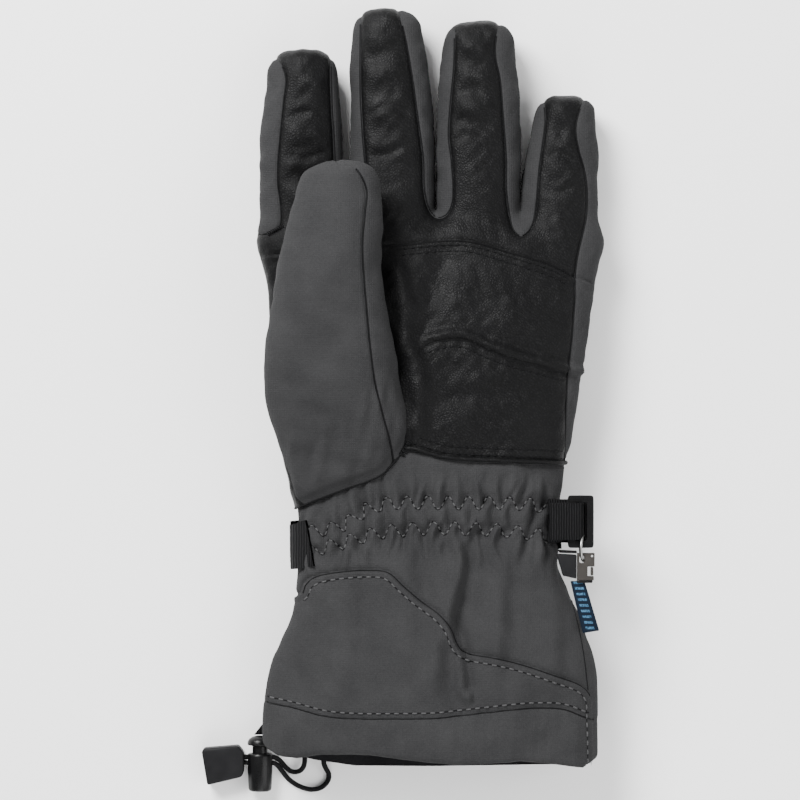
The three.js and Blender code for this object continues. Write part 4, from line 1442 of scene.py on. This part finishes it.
@dataclass
class Cuff:
    """The wrist with its gathered elastic, and the gauntlet with its overlay and hem."""

    kit: Kit
    sides: int = 300
    step: float = 1.1
    cloth: float = 1.4
    hem: float = 2.2
    side_seam: float = 18.5
    back_split: float = -85.0

    def edge(self, at: Points) -> Values:
        """The distance inside the cuff's edge, whose front is cut a little higher than its back."""
        share = eased(at[:, 2], 8, 30)
        front, back = np.interp(at[:, 0], *HEM_FRONT), np.interp(at[:, 0], *HEM_BACK)
        return at[:, 1] - front * share - back * (1 - share)

    def relief(self, at: Points) -> Values:
        """Works out how far the gathered and sewn cloth stands out from the plain cuff.

        Args:
            at: The points.

        Returns:
            The height at each point.
        """
        x, y, z = at.T
        upper, lower = (side_of(row, at) for row in ELASTIC_ROWS)
        gather = np.exp(-np.clip(np.maximum(upper, -lower), 0, None) ** 2 / 95.0)
        phase = 2 * np.pi * (x + 9.0) / 8.1
        between = eased(-upper, -1.0, 2.5) * eased(lower, -1.0, 2.5)
        pleat = np.sin(phase + 1.3 * ripples(at, 26, 31))
        pleat += 0.5 * np.sin(1.9 * phase + 2.0 * ripples(at, 15, 32))
        valley = np.abs(np.sin(phase / 2 + 0.35 * ripples(at, 12, 33))) - 0.5
        over = gather * (1 - between) * 1.35 * pleat + between * 2.9 * valley
        over -= sum(ridge(side_of(row, at), 1.1) for row in ZIGZAGS)
        fall = eased(-y, 60, 72) * (1 - eased(-y, 100, 128))
        over += fall * 1.5 * ripples(at, 15, 41, stretch=(0.8, 4.0))
        crease, sag, seam, hem = (side_of(k, at) for k in (CUFF_CREASE, CUFF_SAG, GAUNTLET_SEAM, HEM_SEAM))
        over += -2.1 * ridge(crease, 1.7) + 2.0 * ridge(crease + 3.8, 2.4) - 1.4 * ridge(sag, 4.5)
        over += 0.9 * eased(-seam, -0.2, 0.7) - 0.8 * ridge(seam - 0.5, 0.9) - 0.35 * ridge(seam + 2.6, 1.0)
        over += -0.6 * ridge(side_of(PALM_BORDER, at) + 1.0, 0.9)
        over += 1.2 * ripples(at, 34, 53, stretch=(1.2, 1.0)) * eased(-y, 96, 118)
        amount = eased(z, 17, 24) * over - 0.7 * ridge(hem, 1.1) + 0.9 * ridge(hem + 9, 6.0)
        amount += eased(-hem, -4, 2) * 0.35 * ripples(at, 6.5, 44, stretch=(0.7, 2.4))
        amount += -0.6 * ridge(z - self.side_seam, 1.0) * (1 - eased(-hem, -2, 2))
        amount += 0.7 * ripples(at, 30, 51, stretch=(1.0, 1.5)) + 0.25 * ripples(at, 10, 52)
        calm = 1 - 0.75 * eased(np.abs(x), 54, 64) * eased(-y, 90, 110)
        return amount * (0.35 + 0.65 * eased(z, 2, 12)) * calm

    def build(self) -> Skin:
        """Makes the cuff's pieces.

        Returns:
            The whole skin, for stitches to lie on.
        """
        skin = CUFF.loft(-14, -156, self.step, self.sides).above(0.05).split(PALM_BORDER, -1.0, 0.6)
        skin = skin.cut(lambda at: at[:, 2] - self.side_seam, (-0.8, 0.0, 0.8))
        skin = skin.split(GAUNTLET_SEAM, -0.7, 0.0, 0.8).split(HEM_SEAM, -1.0, 0.0, 1.0)
        skin = skin.cut(lambda at: at[:, 1] - self.back_split).cut(self.edge, (0.0, 0.5, 1.1, 2.0))
        skin, _ = skin.only((self.edge(skin.middles()) > 0) & (side_of(PALM_BORDER, skin.middles()) < 0.6))
        at = skin.middles()
        turn_in = 1 - np.clip(self.edge(skin.points) / 2.4, 0, 1)
        roll = 1.8 * (1 - np.sqrt(np.clip(1 - turn_in**2, 0, 1)))
        skin = skin.moved(self.relief(skin.points) - roll).above(0.0)
        front, overlay, hem, low = (at[:, 2] > self.side_seam, side_of(GAUNTLET_SEAM, at) < 0,
                                    side_of(HEM_SEAM, at) < 0, at[:, 1] < self.back_split)
        for name, keep, thick, node in (
            ("wrist_front_cloth", front & ~overlay & ~hem & ~low, self.cloth, "wrist_front"),
            ("gauntlet_front_cloth", front & ~overlay & ~hem & low, self.cloth, "gauntlet_front"),
            ("wrist_back_cloth", ~front & ~low & ~hem, self.cloth, "wrist_back"),
            ("gauntlet_overlay_cloth", front & overlay & ~hem, self.cloth, "gauntlet_overlay"),
            ("gauntlet_back_cloth", ~front & low & ~hem, self.cloth, "gauntlet_back"),
            ("hem_band", hem, self.hem, "hem_binding"),
        ):
            dress(panel(name, skin, keep, thick, self.kit.softshell), "hand", "softshell", node)
        return skin


@dataclass
class Linings:
    """The layers inside the glove: wadding and fleece in the hand, taffeta in the cuff."""

    kit: Kit
    hand: Hand
    thumb: Thumb
    cuff: Cuff
    cell: float = 2.4
    wadding: float = 2.6
    fleece: float = 4.8
    taffeta: float = 5.0
    hand_end: float = -27.0

    def inner(self, field: Field, inset: float, low: Triple, high: Triple) -> Skin:
        """Makes the surface that lies a set distance inside a field."""
        skin = Skin.of_field(lambda at: field(at) + inset, low, high, self.cell)
        return skin.relaxed(3, 0.5).above(inset)

    def hand_layer(self, name: str, inset: float, finish: Material, slot: str, node: str) -> Skin:
        """Makes a layer of the palm and the back.

        Args:
            name: Its name.
            inset: How far inside the shell it lies.
            finish: Its material.
            slot: Not used; only passed to dress, which ignores it.
            node: The plain solid that it stands for.

        Returns:
            Its whole skin, fingers included.
        """
        skin = self.inner(self.hand.field, inset, (-71, -30, 0), (71, 153, 42))
        skin = skin.cut(lambda at: at[:, 1] - CROTCH_SPLIT).cut(lambda at: at[:, 1] - self.hand_end)
        y = skin.middles()[:, 1]
        layer = panel(name, skin, (y > self.hand_end) & (y < CROTCH_SPLIT), 1.0, finish)
        dress(layer, "hand", slot, node)
        return skin

    def build(self) -> None:
        """Makes the linings of the hand, the digits and the cuff."""
        kit = self.kit
        skin = self.hand_layer("hand_wadding", self.wadding, kit.wadding, "insulation", "hand_insulation")
        at = skin.middles()
        for digit in FINGERS:
            here = (at[:, 1] > CROTCH_SPLIT) & digit.holds(at[:, 0])
            piece = panel(f"{digit.name}_liner_tube", skin, here, 2.4, kit.fleece)
            dress(piece, None, "fleece", f"{digit.name}_tip_liner")
            digit.bend(piece)
        self.hand_layer("hand_fleece", self.fleece, kit.fleece, "fleece", "hand_lining")
        skin = self.inner(self.thumb.field, 3.2, (-70, -56, 8), (6, 92, 66)).split(THUMB_BASE, 3.0)
        piece = panel("thumb_liner_tube", skin, self.thumb.past_seam(skin.middles()) > 3.0, 2.2, kit.fleece)
        dress(piece, None, "fleece", "thumb_liner")
        self.thumb.bend(piece)
        skin = CUFF.loft(-22, -152, 2.4, 150, inset=self.taffeta).cut(self.trim)
        skin = skin.cut(lambda at: at[:, 1] - CUFF_LINING_TOP)
        at = skin.middles()
        keep = (self.trim(at) > 0) & (at[:, 1] < CUFF_LINING_TOP)
        skin = skin.moved(0.7 * ripples(skin.points, 16, 61, stretch=(0.8, 3.0)))
        layer = panel("cuff_taffeta_lining", skin, keep, 0.8, kit.taffeta)
        dress(layer, "hand", "cuff_lining", "gauntlet_lining")
        band = CUFF.loft(-44, -60, 2.0, 150, inset=4.0)
        dress(panel("wrist_elastic_band", band, np.full(len(band.faces), True), 0.8, kit.webbing), "hand",
              "elastic", "wrist_elastic")
        ring = smooth_line(CUFF.loft(-141, -142, 1.0, 120, inset=2.0).points[:120], step=2.0, closed=True)
        cord = make_object("hem_cord_inside", tube(ring, 1.0, 8, closed=True), kit.cord)
        dress(cord, "hand", "cord", "hem_cord")

    def trim(self, at: Points) -> Values:
        """The distance inside the cuff lining's edge, which is turned in further at the front."""
        return self.cuff.edge(at) - 0.9 - 3.4 * eased(at[:, 2], 10, 26)


@dataclass
class Seams:
    """The stitches, the dark lines of painted shade in the seams and under the stitches, the piping and the
    bartacks.
    """

    kit: Kit
    hand: Skin
    thumb: Skin
    cuff: Skin

    def offset(self, line: Points, distance: float, low: float = -FAR, high: float = FAR) -> Points:
        """Runs beside a seam line, on its left, for a range of x."""
        moved = line + left_of(line) * distance
        return moved[(moved[:, 0] > low) & (moved[:, 0] < high)]

    def rows(self, name: str, thread: Thread, lines: Sequence[Points], finish: Material, slot: str) -> None:
        """Makes a set of rows of stitches, and thin dark tubes under them that are painted shade in the
        stitch holes.

        Args:
            name: The piece's name.
            thread: The stitches' size and the surfaces they lie on.
            lines: The rows.
            finish: The thread's material.
            slot: Not used; only passed to dress, which ignores it.
        """
        stitches = joined([thread.row(line, 0.7 * k) for k, line in enumerate(lines)])
        dress(make_object(name, stitches, finish), "hand", slot)
        # Painted shade: thin dark tubes under the stitches darken the gaps between them.
        groove_shade = joined([tube(thread.laid(line, 0.9), 0.8 * thread.radius, 6) for line in lines])
        dress(make_object(f"{name}_troughs", groove_shade, self.kit.black_thread_and_shade), "hand", slot)

    def shade_line(self, name: str, line: Points, radius: float, slot: str, *skins: Skin) -> None:
        """Sinks a thin dark line into a seam of the hand or the cuff, as painted shade in the seam's groove.

        Args:
            name: Its name.
            line: The seam in plan.
            radius: Half its width.
            slot: Not used; only passed to dress, which ignores it.
            skins: The surfaces it lies on.
        """
        # Painted shade: a thin dark tube laid in the seam's groove.
        skin = tube(Thread(skins).laid(line), radius, 6)
        dress(make_object(name, skin, self.kit.black_thread_and_shade), "hand", slot)

    def build(self) -> None:
        """Makes every row, line and bar."""
        kit, offset, cuff, edge = self.kit, self.offset, (self.cuff,), 54.4
        self.rows("palm_stitches", Thread((self.hand,), 1.9, 2.9, 0.3), (
            offset(OVERLAY_TOP, -1.5, -14, edge), offset(OVERLAY_TOP, -3.9, -13, edge),
            offset(OVERLAY_BOTTOM, -2.6, -2.6, 52.6),
            offset(PALM_BORDER, 1.9, -7.4, 52), offset(PALM_BORDER, 4.6, -5.4, 52)),
            kit.black_thread_and_shade, "leather")
        self.rows("wrist_stitches", Thread(cuff, 1.9, 2.7, 0.36), ZIGZAGS, kit.thread, "softshell")
        self.rows("gauntlet_stitches", Thread(cuff, 2.4, 3.5, 0.36), (
            offset(GAUNTLET_SEAM, -2.4, -50, 62), offset(HEM_SEAM, 2.2, -64, 63)), kit.thread, "softshell")
        self.piping()
        self.thumb_shade_line()
        # Thin dark lines of painted shade in the seams.
        for name, line, radius, slot, *skins in (
            ("thumb_base_shade_line", offset(THUMB_BASE, 0.2, -56, -8.6), 0.45, "softshell",
             self.thumb, self.cuff, self.hand),
            ("gauntlet_seam_shade_line", offset(GAUNTLET_SEAM, 0.0, -50, 62.6), 0.34, "softshell", self.cuff),
            ("hem_seam_shade_line", offset(HEM_SEAM, 0.0, -64.5, 64), 0.34, "softshell", self.cuff),
            ("cuff_side_shade_line", CUFF_SIDE, 0.34, "softshell", self.cuff),
        ):
            self.shade_line(name, line, radius, slot, *skins)
        self.finger_shade_lines()
        self.shade_line("palm_top_shade_line", offset(OVERLAY_TOP, 0.2, -16, 55), 0.3, "leather", self.hand)
        self.shade_line("palm_fold_shade_line", offset(OVERLAY_BOTTOM, 0.0, -3, 53), 0.3, "leather", self.hand)
        self.bartack("bartack_thumb", (-9.4, -23.6), (2.0, 6.4), 58)
        self.bartack("bartack_index", (-60.4, 61.6), (1.6, 6.6), 28)

    def thumb_shade_line(self) -> None:
        """Makes the dark line of painted shade in the thumb's long seam."""
        line = THUMB_SEAM[(THUMB_SEAM[:, 1] < 84.4) & (THUMB_SEAM[:, 1] > -31)]
        skin = tube(Thread((self.thumb,)).laid(line), 0.42, 6)
        shade_line = make_object("thumb_seam_shade_line", skin, self.kit.black_thread_and_shade)
        dress(shade_line, None, "softshell")
        Thumb(self.kit).bend(shade_line)

    def finger_shade_lines(self) -> None:
        """Makes the dark lines of painted shade beside each finger's leather."""
        thread = Thread((self.hand,))
        for digit in FINGERS:
            parts = [line[digit.holds(line[:, 0]) & (line[:, 1] < digit.cap[0] + 5)]
                     for line in (INDEX_OUTER, *VALLEYS, LITTLE_OUTER)]
            tubes = [tube(thread.laid(part, sunk=0.0), 0.27, 6) for part in parts if len(part) > 8]
            edge = make_object(f"{digit.name}_seam_welts", joined(tubes), self.kit.black_thread_and_shade)
            dress(edge, None, "leather")
            digit.bend(edge)

    def piping(self) -> None:
        """Runs the black piping between the palm and the wrist, and down the glove's side."""
        both = Thread((self.hand, self.cuff))
        line = evenly(self.offset(PALM_BORDER, 0.1, -9.6, 51.6), 1.2)
        spots = np.array([both.drop(x, y)[0] for x, y in line])
        base = base_top(line[:, 0], line[:, 1])
        spots[:, 2] = np.clip(spots[:, 2], base - 1.6, base + 1.2) + 0.25
        low = np.linspace(spots[-1, 2], 19.0, 14)[1:]
        middle, half, height, rise = (float(v) for v in PALM.at(np.array(spots[-1, 1])))
        share = np.clip(np.abs(low - height) / rise, 0, 1) ** PALM.squareness
        reach = middle + half * (1 - share) ** (1 / PALM.squareness) + 0.1
        down = np.stack([np.maximum(reach, spots[-1, 0]), np.full(13, spots[-1, 1]), low], 1)
        skin = tube(smooth_line(np.vstack([spots[::2], down[2::3]]), step=1.0), 0.85, 10)
        dress(make_object("palm_piping", skin, self.kit.leather), "hand", "leather", "wrist_piping")

    def bartack(self, name: str, centre: Pair, size: Pair, turn: float) -> None:
        """Makes a bar of close stitches.

        Args:
            name: Its name.
            centre: Its middle.
            size: Its width and length.
            turn: The angle of its length from +X, in degrees.
        """
        thread = Thread((self.hand, self.cuff, self.thumb), radius=0.34, sunk=-0.1)
        along = np.array([math.cos(math.radians(turn)), math.sin(math.radians(turn))])
        across = np.array([-along[1], along[0]]) * (size[0] + 0.5) / 2
        parts = []
        for share in np.linspace(-0.5, 0.5, 9):
            middle = np.array(centre) + along * size[1] * share
            (a, up), (b, _) = thread.drop(*(middle - across)), thread.drop(*(middle + across))
            parts.append(thread.stitch(a, b, up))
        dress(make_object(name, joined(parts), self.kit.black_thread_and_shade), "hand", "leather")


@dataclass
class Strap:
    """The webbing strap round the back of the wrist, sewn down at one end and looped round the buckle."""

    kit: Kit
    thickness: float = 1.5
    proud: float = 2.2
    slack: float = 1.2
    width: float = 14.4
    top: float = -44.9
    loop_room: float = 2.25
    bar: Pair = (54.9, 33.5)
    tail: float = 46.6

    def web(self, name: str, skin: Skin, lines: Sequence[Points], signs: Sequence[int], level: float,
            node: str) -> None:
        """Cuts a piece of webbing out of a skin.

        Args:
            name: Its name.
            skin: The skin, round the wrist.
            lines: The lines in plan that bound it.
            signs: 1 where it lies on the left of a line and -1 on the right.
            level: The height it reaches, or with a minus the height it starts at.
            node: The plain solid that it stands for.
        """
        for line in lines:
            skin = skin.split(line)
        skin = skin.cut(lambda at: at[:, 2] - abs(level)).above(0.0)
        at = skin.middles()
        keep = at[:, 2] * math.copysign(1, level) < level
        for line, sign in zip(lines, signs):
            keep &= side_of(line, at) * sign > 0
        dress(panel(name, skin, keep, self.thickness, self.kit.webbing), "hand", "webbing", node)

    def build(self) -> None:
        """Makes the strap, its sewn end, the loop round the buckle's bar and the flap under it."""
        self.web("wrist_strap_web", CUFF.loft(-38, -78, 1.4, 240, inset=-self.proud), (
            curve(-90, -71.8, -70, -70.5, 70, -62, 90, -60.8),
            curve(-90, -54.8, -70, -53.5, 70, -44.5, 90, -43.2)), (1, -1), 24.0, "wrist_strap")
        self.web("strap_sewn_end", CUFF.loft(-44, -76, 1.0, 300, inset=-self.proud - 0.3), (
            curve(-60, -53.8, -54, -53.6, -50, -52, -44, -51), curve(-44, -69.2, -52, -70.8, -60, -71.4),
            curve(-49.2, -50, -48, -55, -45.4, -69.6, -45.2, -72)), (-1, -1, -1), -23.0, "strap_anchor")
        x, z = self.bar
        room, outer, far = self.loop_room, self.loop_room + self.thickness, x + self.slack
        turns = [math.pi * (0.5 - k / 16) for k in range(17)]
        around, inside = ([(far + r * math.cos(turn), z + r * math.sin(turn)) for turn in turns]
                          for r in (outer, room))
        top = [(self.tail, 37.6), (50.0, 37.9), (53.0, z + outer + 0.1)]
        foot = [(52.6, z - outer), (50.0, z - outer - 1.6), (48.4, 26.2)]
        back = [(50.0, 27.4), (51.6, z - room - 1.2), (53.4, z - room)]
        under = [(52.6, z + room), (50.0, 36.2), (self.tail, 36.0)]
        piece = plate("buckle_web_loop", top + around + foot + back + inside[::-1] + under,
                      self.top - self.width / 2, self.width, 0.35, self.kit.webbing, axis=Axis.Y)
        dress(piece, "hand", "webbing", "buckle_loop")
        flap = [(46, -60.6), (62.2, -60.6), (62.2, -43.6), (46, -43.6)]
        dress(plate("strap_under_flap", flap, 28.4, 1.1, 0.4, self.kit.webbing), "hand", "webbing")


@dataclass
class Hardware:
    """The buckle, the wire ring, the clip with its gate, and the folded label."""

    kit: Kit
    level: float = 33.5
    centre: Pair = (58.6, -52.2)
    half: Pair = (5.0, 10.2)
    bar: float = 2.6

    def build(self) -> None:
        """Makes the hardware on the little finger side."""
        kit, z = self.kit, self.level
        window = oval(self.centre, (self.half[0] - self.bar, self.half[1] - self.bar), 32, 12)
        clip = [(57.2, -75), (63.6, -75), (63.6, -73.4), (61.2, -73.4), (61.2, -69.6), (63.9, -69.6),
                (64.0, -64.4), (57.2, -64.4)]
        slot, screw = oval((59.0, -66.85), (1.0, 1.5), 20, 3), oval((63.0, -65.6), (0.5, 0.5), 16)
        label = [(54.6, -75.3), (60, -75.3), (61.8, -81), (65.8, -94.6), (59.4, -95.6), (56.6, -84)]
        rim = oval(self.centre, self.half, 48, 14)
        frame = plate("buckle_frame", rim, z, 3.0, 0.6, kit.black, (window,))
        dress(frame, "buckle", "black_plastic", "buckle")
        turn = np.linspace(0, 2 * np.pi, 41)[:-1]
        across, along = np.cos(turn), np.sin(turn)
        ring = np.stack([58.55 + 0.9 * across**2, -62.6 + 4.8 * across, z + 3.4 * along], 1)
        wire = make_object("clip_wire_ring", tube(ring, 0.52, 12, closed=True), kit.wire)
        dress(wire, "clip", "steel", "clip_ring")
        for name, outline, middle, thick, edge, finish, holes, body, slot_name, *nodes in (
            ("clip_plate", clip, z, 4.0, 0.35, kit.grey, (slot, screw), "clip", "grey_plastic", "clip_body"),
            ("clip_gate_arm", oval((62.95, -71.5), (0.5, 1.65), 20, 5), z, 3.0, 0.2, kit.grey, (), "gate",
             "grey_plastic", "clip_gate"),
            ("clip_tab_wedge", [(51.6, -73.2), (56.9, -74.4), (56.9, -65), (49.0, -64.6)], z + 0.9, 3.2, 0.5,
             kit.pull, (), "clip", "black_plastic", "clip_tab"),
            ("clip_top_flange", [(50.4, -64.3), (57.0, -64.5), (57.0, -63.5), (49.4, -63.1)], z + 0.4, 3.4,
             0.25, kit.black, (), "clip", "black_plastic"),
            ("clip_foot_flange", [(57.0, -76.0), (62.9, -76.0), (63.3, -75.1), (57.0, -75.1)], z, 4.2, 0.25,
             kit.black, (), "clip", "black_plastic"),
            ("folded_label", label, z, 1.6, 0.4, kit.label, (), "clip", "label", "label"),
        ):
            dress(plate(name, outline, middle, thick, edge, finish, holes), body, slot_name, *nodes)


@dataclass
class Drawcord:
    """The hem's drawcord, its spring lock, the moulded pull and the tape that ties the lock to the hem."""

    kit: Kit
    diameter: float = 2.0
    axis: Pair = (-67.2, 5.1)
    slot_halves: tuple[Pair, Pair] = ((2.5, 1.5), (2.6, 1.5))
    short_run: tuple[Triple, ...] = (
        (-49.5, -146.3, 5.6), (-49.5, -148.6, 5.4), (-50.3, -151, 3.8), (-52.2, -152.6, 1.8),
        (-54.8, -152.6, 1.1), (-57.2, -150.8, 1.5), (-59.2, -148.2, 3.3), (-61.4, -146.6, 4.9),
        (-64.4, -146.4, 5.1),
        (-67.2, -146.4, 5.1), (-70, -146.4, 5.1), (-72.6, -146.4, 5.1), (-74.4, -146.4, 5.0))
    long_run: tuple[Triple, ...] = (
        (-42, -146.5, 3.8), (-42, -148.9, 3.7), (-41.2, -151.2, 2.6), (-40, -153.6, 1.4), (-40.4, -156.4, 1),
        (-43, -159, 1), (-47, -159.8, 1), (-51.5, -158.6, 1), (-55.6, -156, 1), (-58.2, -152.8, 2.6),
        (-60, -150.1, 4.5), (-61.8, -148.8, 5.1), (-64.4, -148.7, 5.1), (-67.2, -148.7, 5.1),
        (-70, -148.7, 5.1), (-72.6, -148.7, 5.1), (-74.4, -148.7, 5.0))

    def strand(self, name: str, run: Sequence[Triple], node: str, *on_it: Piece | str) -> None:
        """Makes one strand of the drawcord, from its exit in the hem to the pull.

        Args:
            name: Its name.
            run: The points it goes through.
            node: The plain solid that it stands for.
            on_it: Not used.
        """
        line = evenly(smooth_line(run, step=0.4), 1.32)
        path = bpy.data.curves.new(name, "CURVE")
        path.dimensions = "3D"
        path.bevel_depth = self.diameter / 2 * MM
        path.bevel_resolution = 4
        path.use_fill_caps = True
        spline = path.splines.new("POLY")
        spline.points.add(len(line) - 1)
        for point, at in zip(spline.points, line):
            point.co = (*(at * MM), 1.0)
        path.materials.append(self.kit.cord)
        cord, length = linked(name, path), float(run_of(line)[-1])
        tuple(c * MM for c in run[0])
        dress(cord, "hand", "cord", node)
        LOG.info("%s: %.1f mm long", name, length)

    def slot_tools(self) -> list[Piece]:
        """Makes the tools that cut the slots of the barrel and the plunger.

        Returns:
            The two tools, which share the spots of the first.
        """
        x, z = self.axis
        tools = [plate("slot_tool", oval((-147.5, z), half, 24, 3), x, 14.0, 0, self.kit.black)
                 for half in self.slot_halves]
        spots = np.array([(v.co.z, v.co.x, v.co.y) for v in tools[0].data.vertices], np.float32)
        for tool in tools:
            tool.data.vertices.foreach_set("co", spots.ravel())
            tool.data.update()
        return tools

    def build(self) -> None:
        """Makes the lock, the pull, the tape and the two strands."""
        kit = self.kit
        barrel_tool, plunger_tool = self.slot_tools()
        barrel = turned("cord_lock_barrel", (
            (-160, 0), (-160, 3.6), (-159.6, 4.3), (-158.8, 4.6), (-152, 4.9), (-146, 5.0), (-145.4, 4.9),
            (-145, 4.5), (-145, 3.5), (-158.6, 3.4), (-158.6, 0)), self.axis, kit.black)
        drilled(barrel, barrel_tool)
        dress(barrel, "hand", "black_plastic", "cord_lock_body")
        plunger = turned("cord_lock_button", (
            (-152, 0), (-152, 2.6), (-151.6, 3.0), (-142.2, 3.0), (-141.9, 3.6), (-141.7, 4.7),
            (-141.3, 5.0), (-140.2, 4.9), (-139.2, 4.3), (-138.4, 3.0), (-138.0, 1.4), (-137.9, 0)),
            self.axis, kit.black)
        drilled(plunger, plunger_tool)
        dress(plunger, "plunger", "black_plastic", "cord_lock_plunger")
        grip = [(-88, -157.4), (-74.6, -154.2), (-73.6, -152.6), (-73.6, -144.6), (-75.6, -141.8),
                (-89.6, -142.9), (-90.2, -144.4)]
        pull = plate("cord_pull_grip", grip, 4.4, 8.2, 1.7, kit.pull)
        mouth = [(-80, -150.2), (-70, -150.2), (-70, -144.9), (-80, -144.9)]
        drilled(pull, plate("mouth_tool", mouth, 5.0, 2.9, 0, kit.pull))
        dress(pull, "hand", "black_plastic", "cord_pull")
        band = [(-66.4, -133.5), (-62.6, -135.8), (-66.0, -137.6), (-69.6, -137.6)]
        tape = plate("lock_tape", band, 5.1, 1.2, 0.3, kit.webbing)
        dress(tape, "hand", "webbing", "cord_tape")
        self.strand("drawcord_short_strand", self.short_run, "drawcord_short", barrel, plunger, pull, tape,
                    "cord_lock_spring")
        self.strand("drawcord_long_strand", self.long_run, "drawcord_long", pull)


@dataclass
class Studio:
    """The camera, the floor and the soft lights."""

    view_width: float = 312.0
    height: float = 1500.0
    subject: float = 30.0
    aim: Pair = (-11.7, -4.9)
    half_floor: float = 3000.0
    floor: float = -0.4

    def camera(self) -> None:
        """Hangs the camera straight above the glove, with its width in view."""
        lens = bpy.data.cameras.new("camera")
        lens.sensor_width = 36.0
        lens.lens = lens.sensor_width * (self.height - self.subject) / self.view_width
        lens.clip_end = 20.0
        eye = linked("camera", lens)
        eye.location = (self.aim[0] * MM, self.aim[1] * MM, self.height * MM)
        bpy.context.scene.camera = eye

    def light(self, name: str, place: Triple, size: float, power: float) -> None:
        """Adds a soft square light that faces the glove.

        Args:
            name: Its name.
            place: Where it is, in metres.
            size: Its width, in metres.
            power: Its strength, in watts.
        """
        lamp = bpy.data.lights.new(name, "AREA")
        lamp.size = size
        lamp.energy = power
        made = linked(name, lamp)
        made.location = place
        made.rotation_euler = (Vector((0, 0, 0.02)) - Vector(place)).to_track_quat("-Z", "Y").to_euler()

    def build(self) -> None:
        """Makes the floor, the lights and a pale surround."""
        paper = Nodes("studio_paper")
        paper.set(Base_Color=(0.95, 0.95, 0.95, 1), Roughness=0.95, Specular_IOR_Level=0.1)
        corners = [(x * self.half_floor, y * self.half_floor, self.floor)
                   for x, y in ((-1, -1), (1, -1), (1, 1), (-1, 1))]
        sheet = Skin(np.array(corners), np.array([[0, 1, 2], [0, 2, 3]]))
        make_object("studio_floor", sheet, paper.material)
        world = bpy.data.worlds.new("surround")
        world.use_nodes = True
        world.node_tree.nodes["Background"].inputs["Color"].default_value = (1, 1, 1, 1)
        world.node_tree.nodes["Background"].inputs["Strength"].default_value = 0.5
        bpy.context.scene.world = world
        self.light("key", (-0.55, 0.75, 0.9), 0.6, 50)
        self.light("fill", (0.9, -0.2, 0.8), 1.0, 12)
        self.light("rim", (0.1, -0.9, 0.6), 0.8, 10)


def main() -> None:
    """Builds the glove around its frame."""
    logging.basicConfig(level=logging.INFO, format="%(name)s: %(message)s")
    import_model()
    studio = Studio()
    studio.camera()
    kit = Kit()
    Drawcord(kit).build()
    hand, thumb, cuff = Hand(kit), Thumb(kit), Cuff(kit)
    Seams(kit, hand.build(), thumb.build(), cuff.build()).build()
    Linings(kit, hand, thumb, cuff).build()
    Strap(kit).build()
    Hardware(kit).build()
    studio.build()


if __name__ == "__main__":
    main()
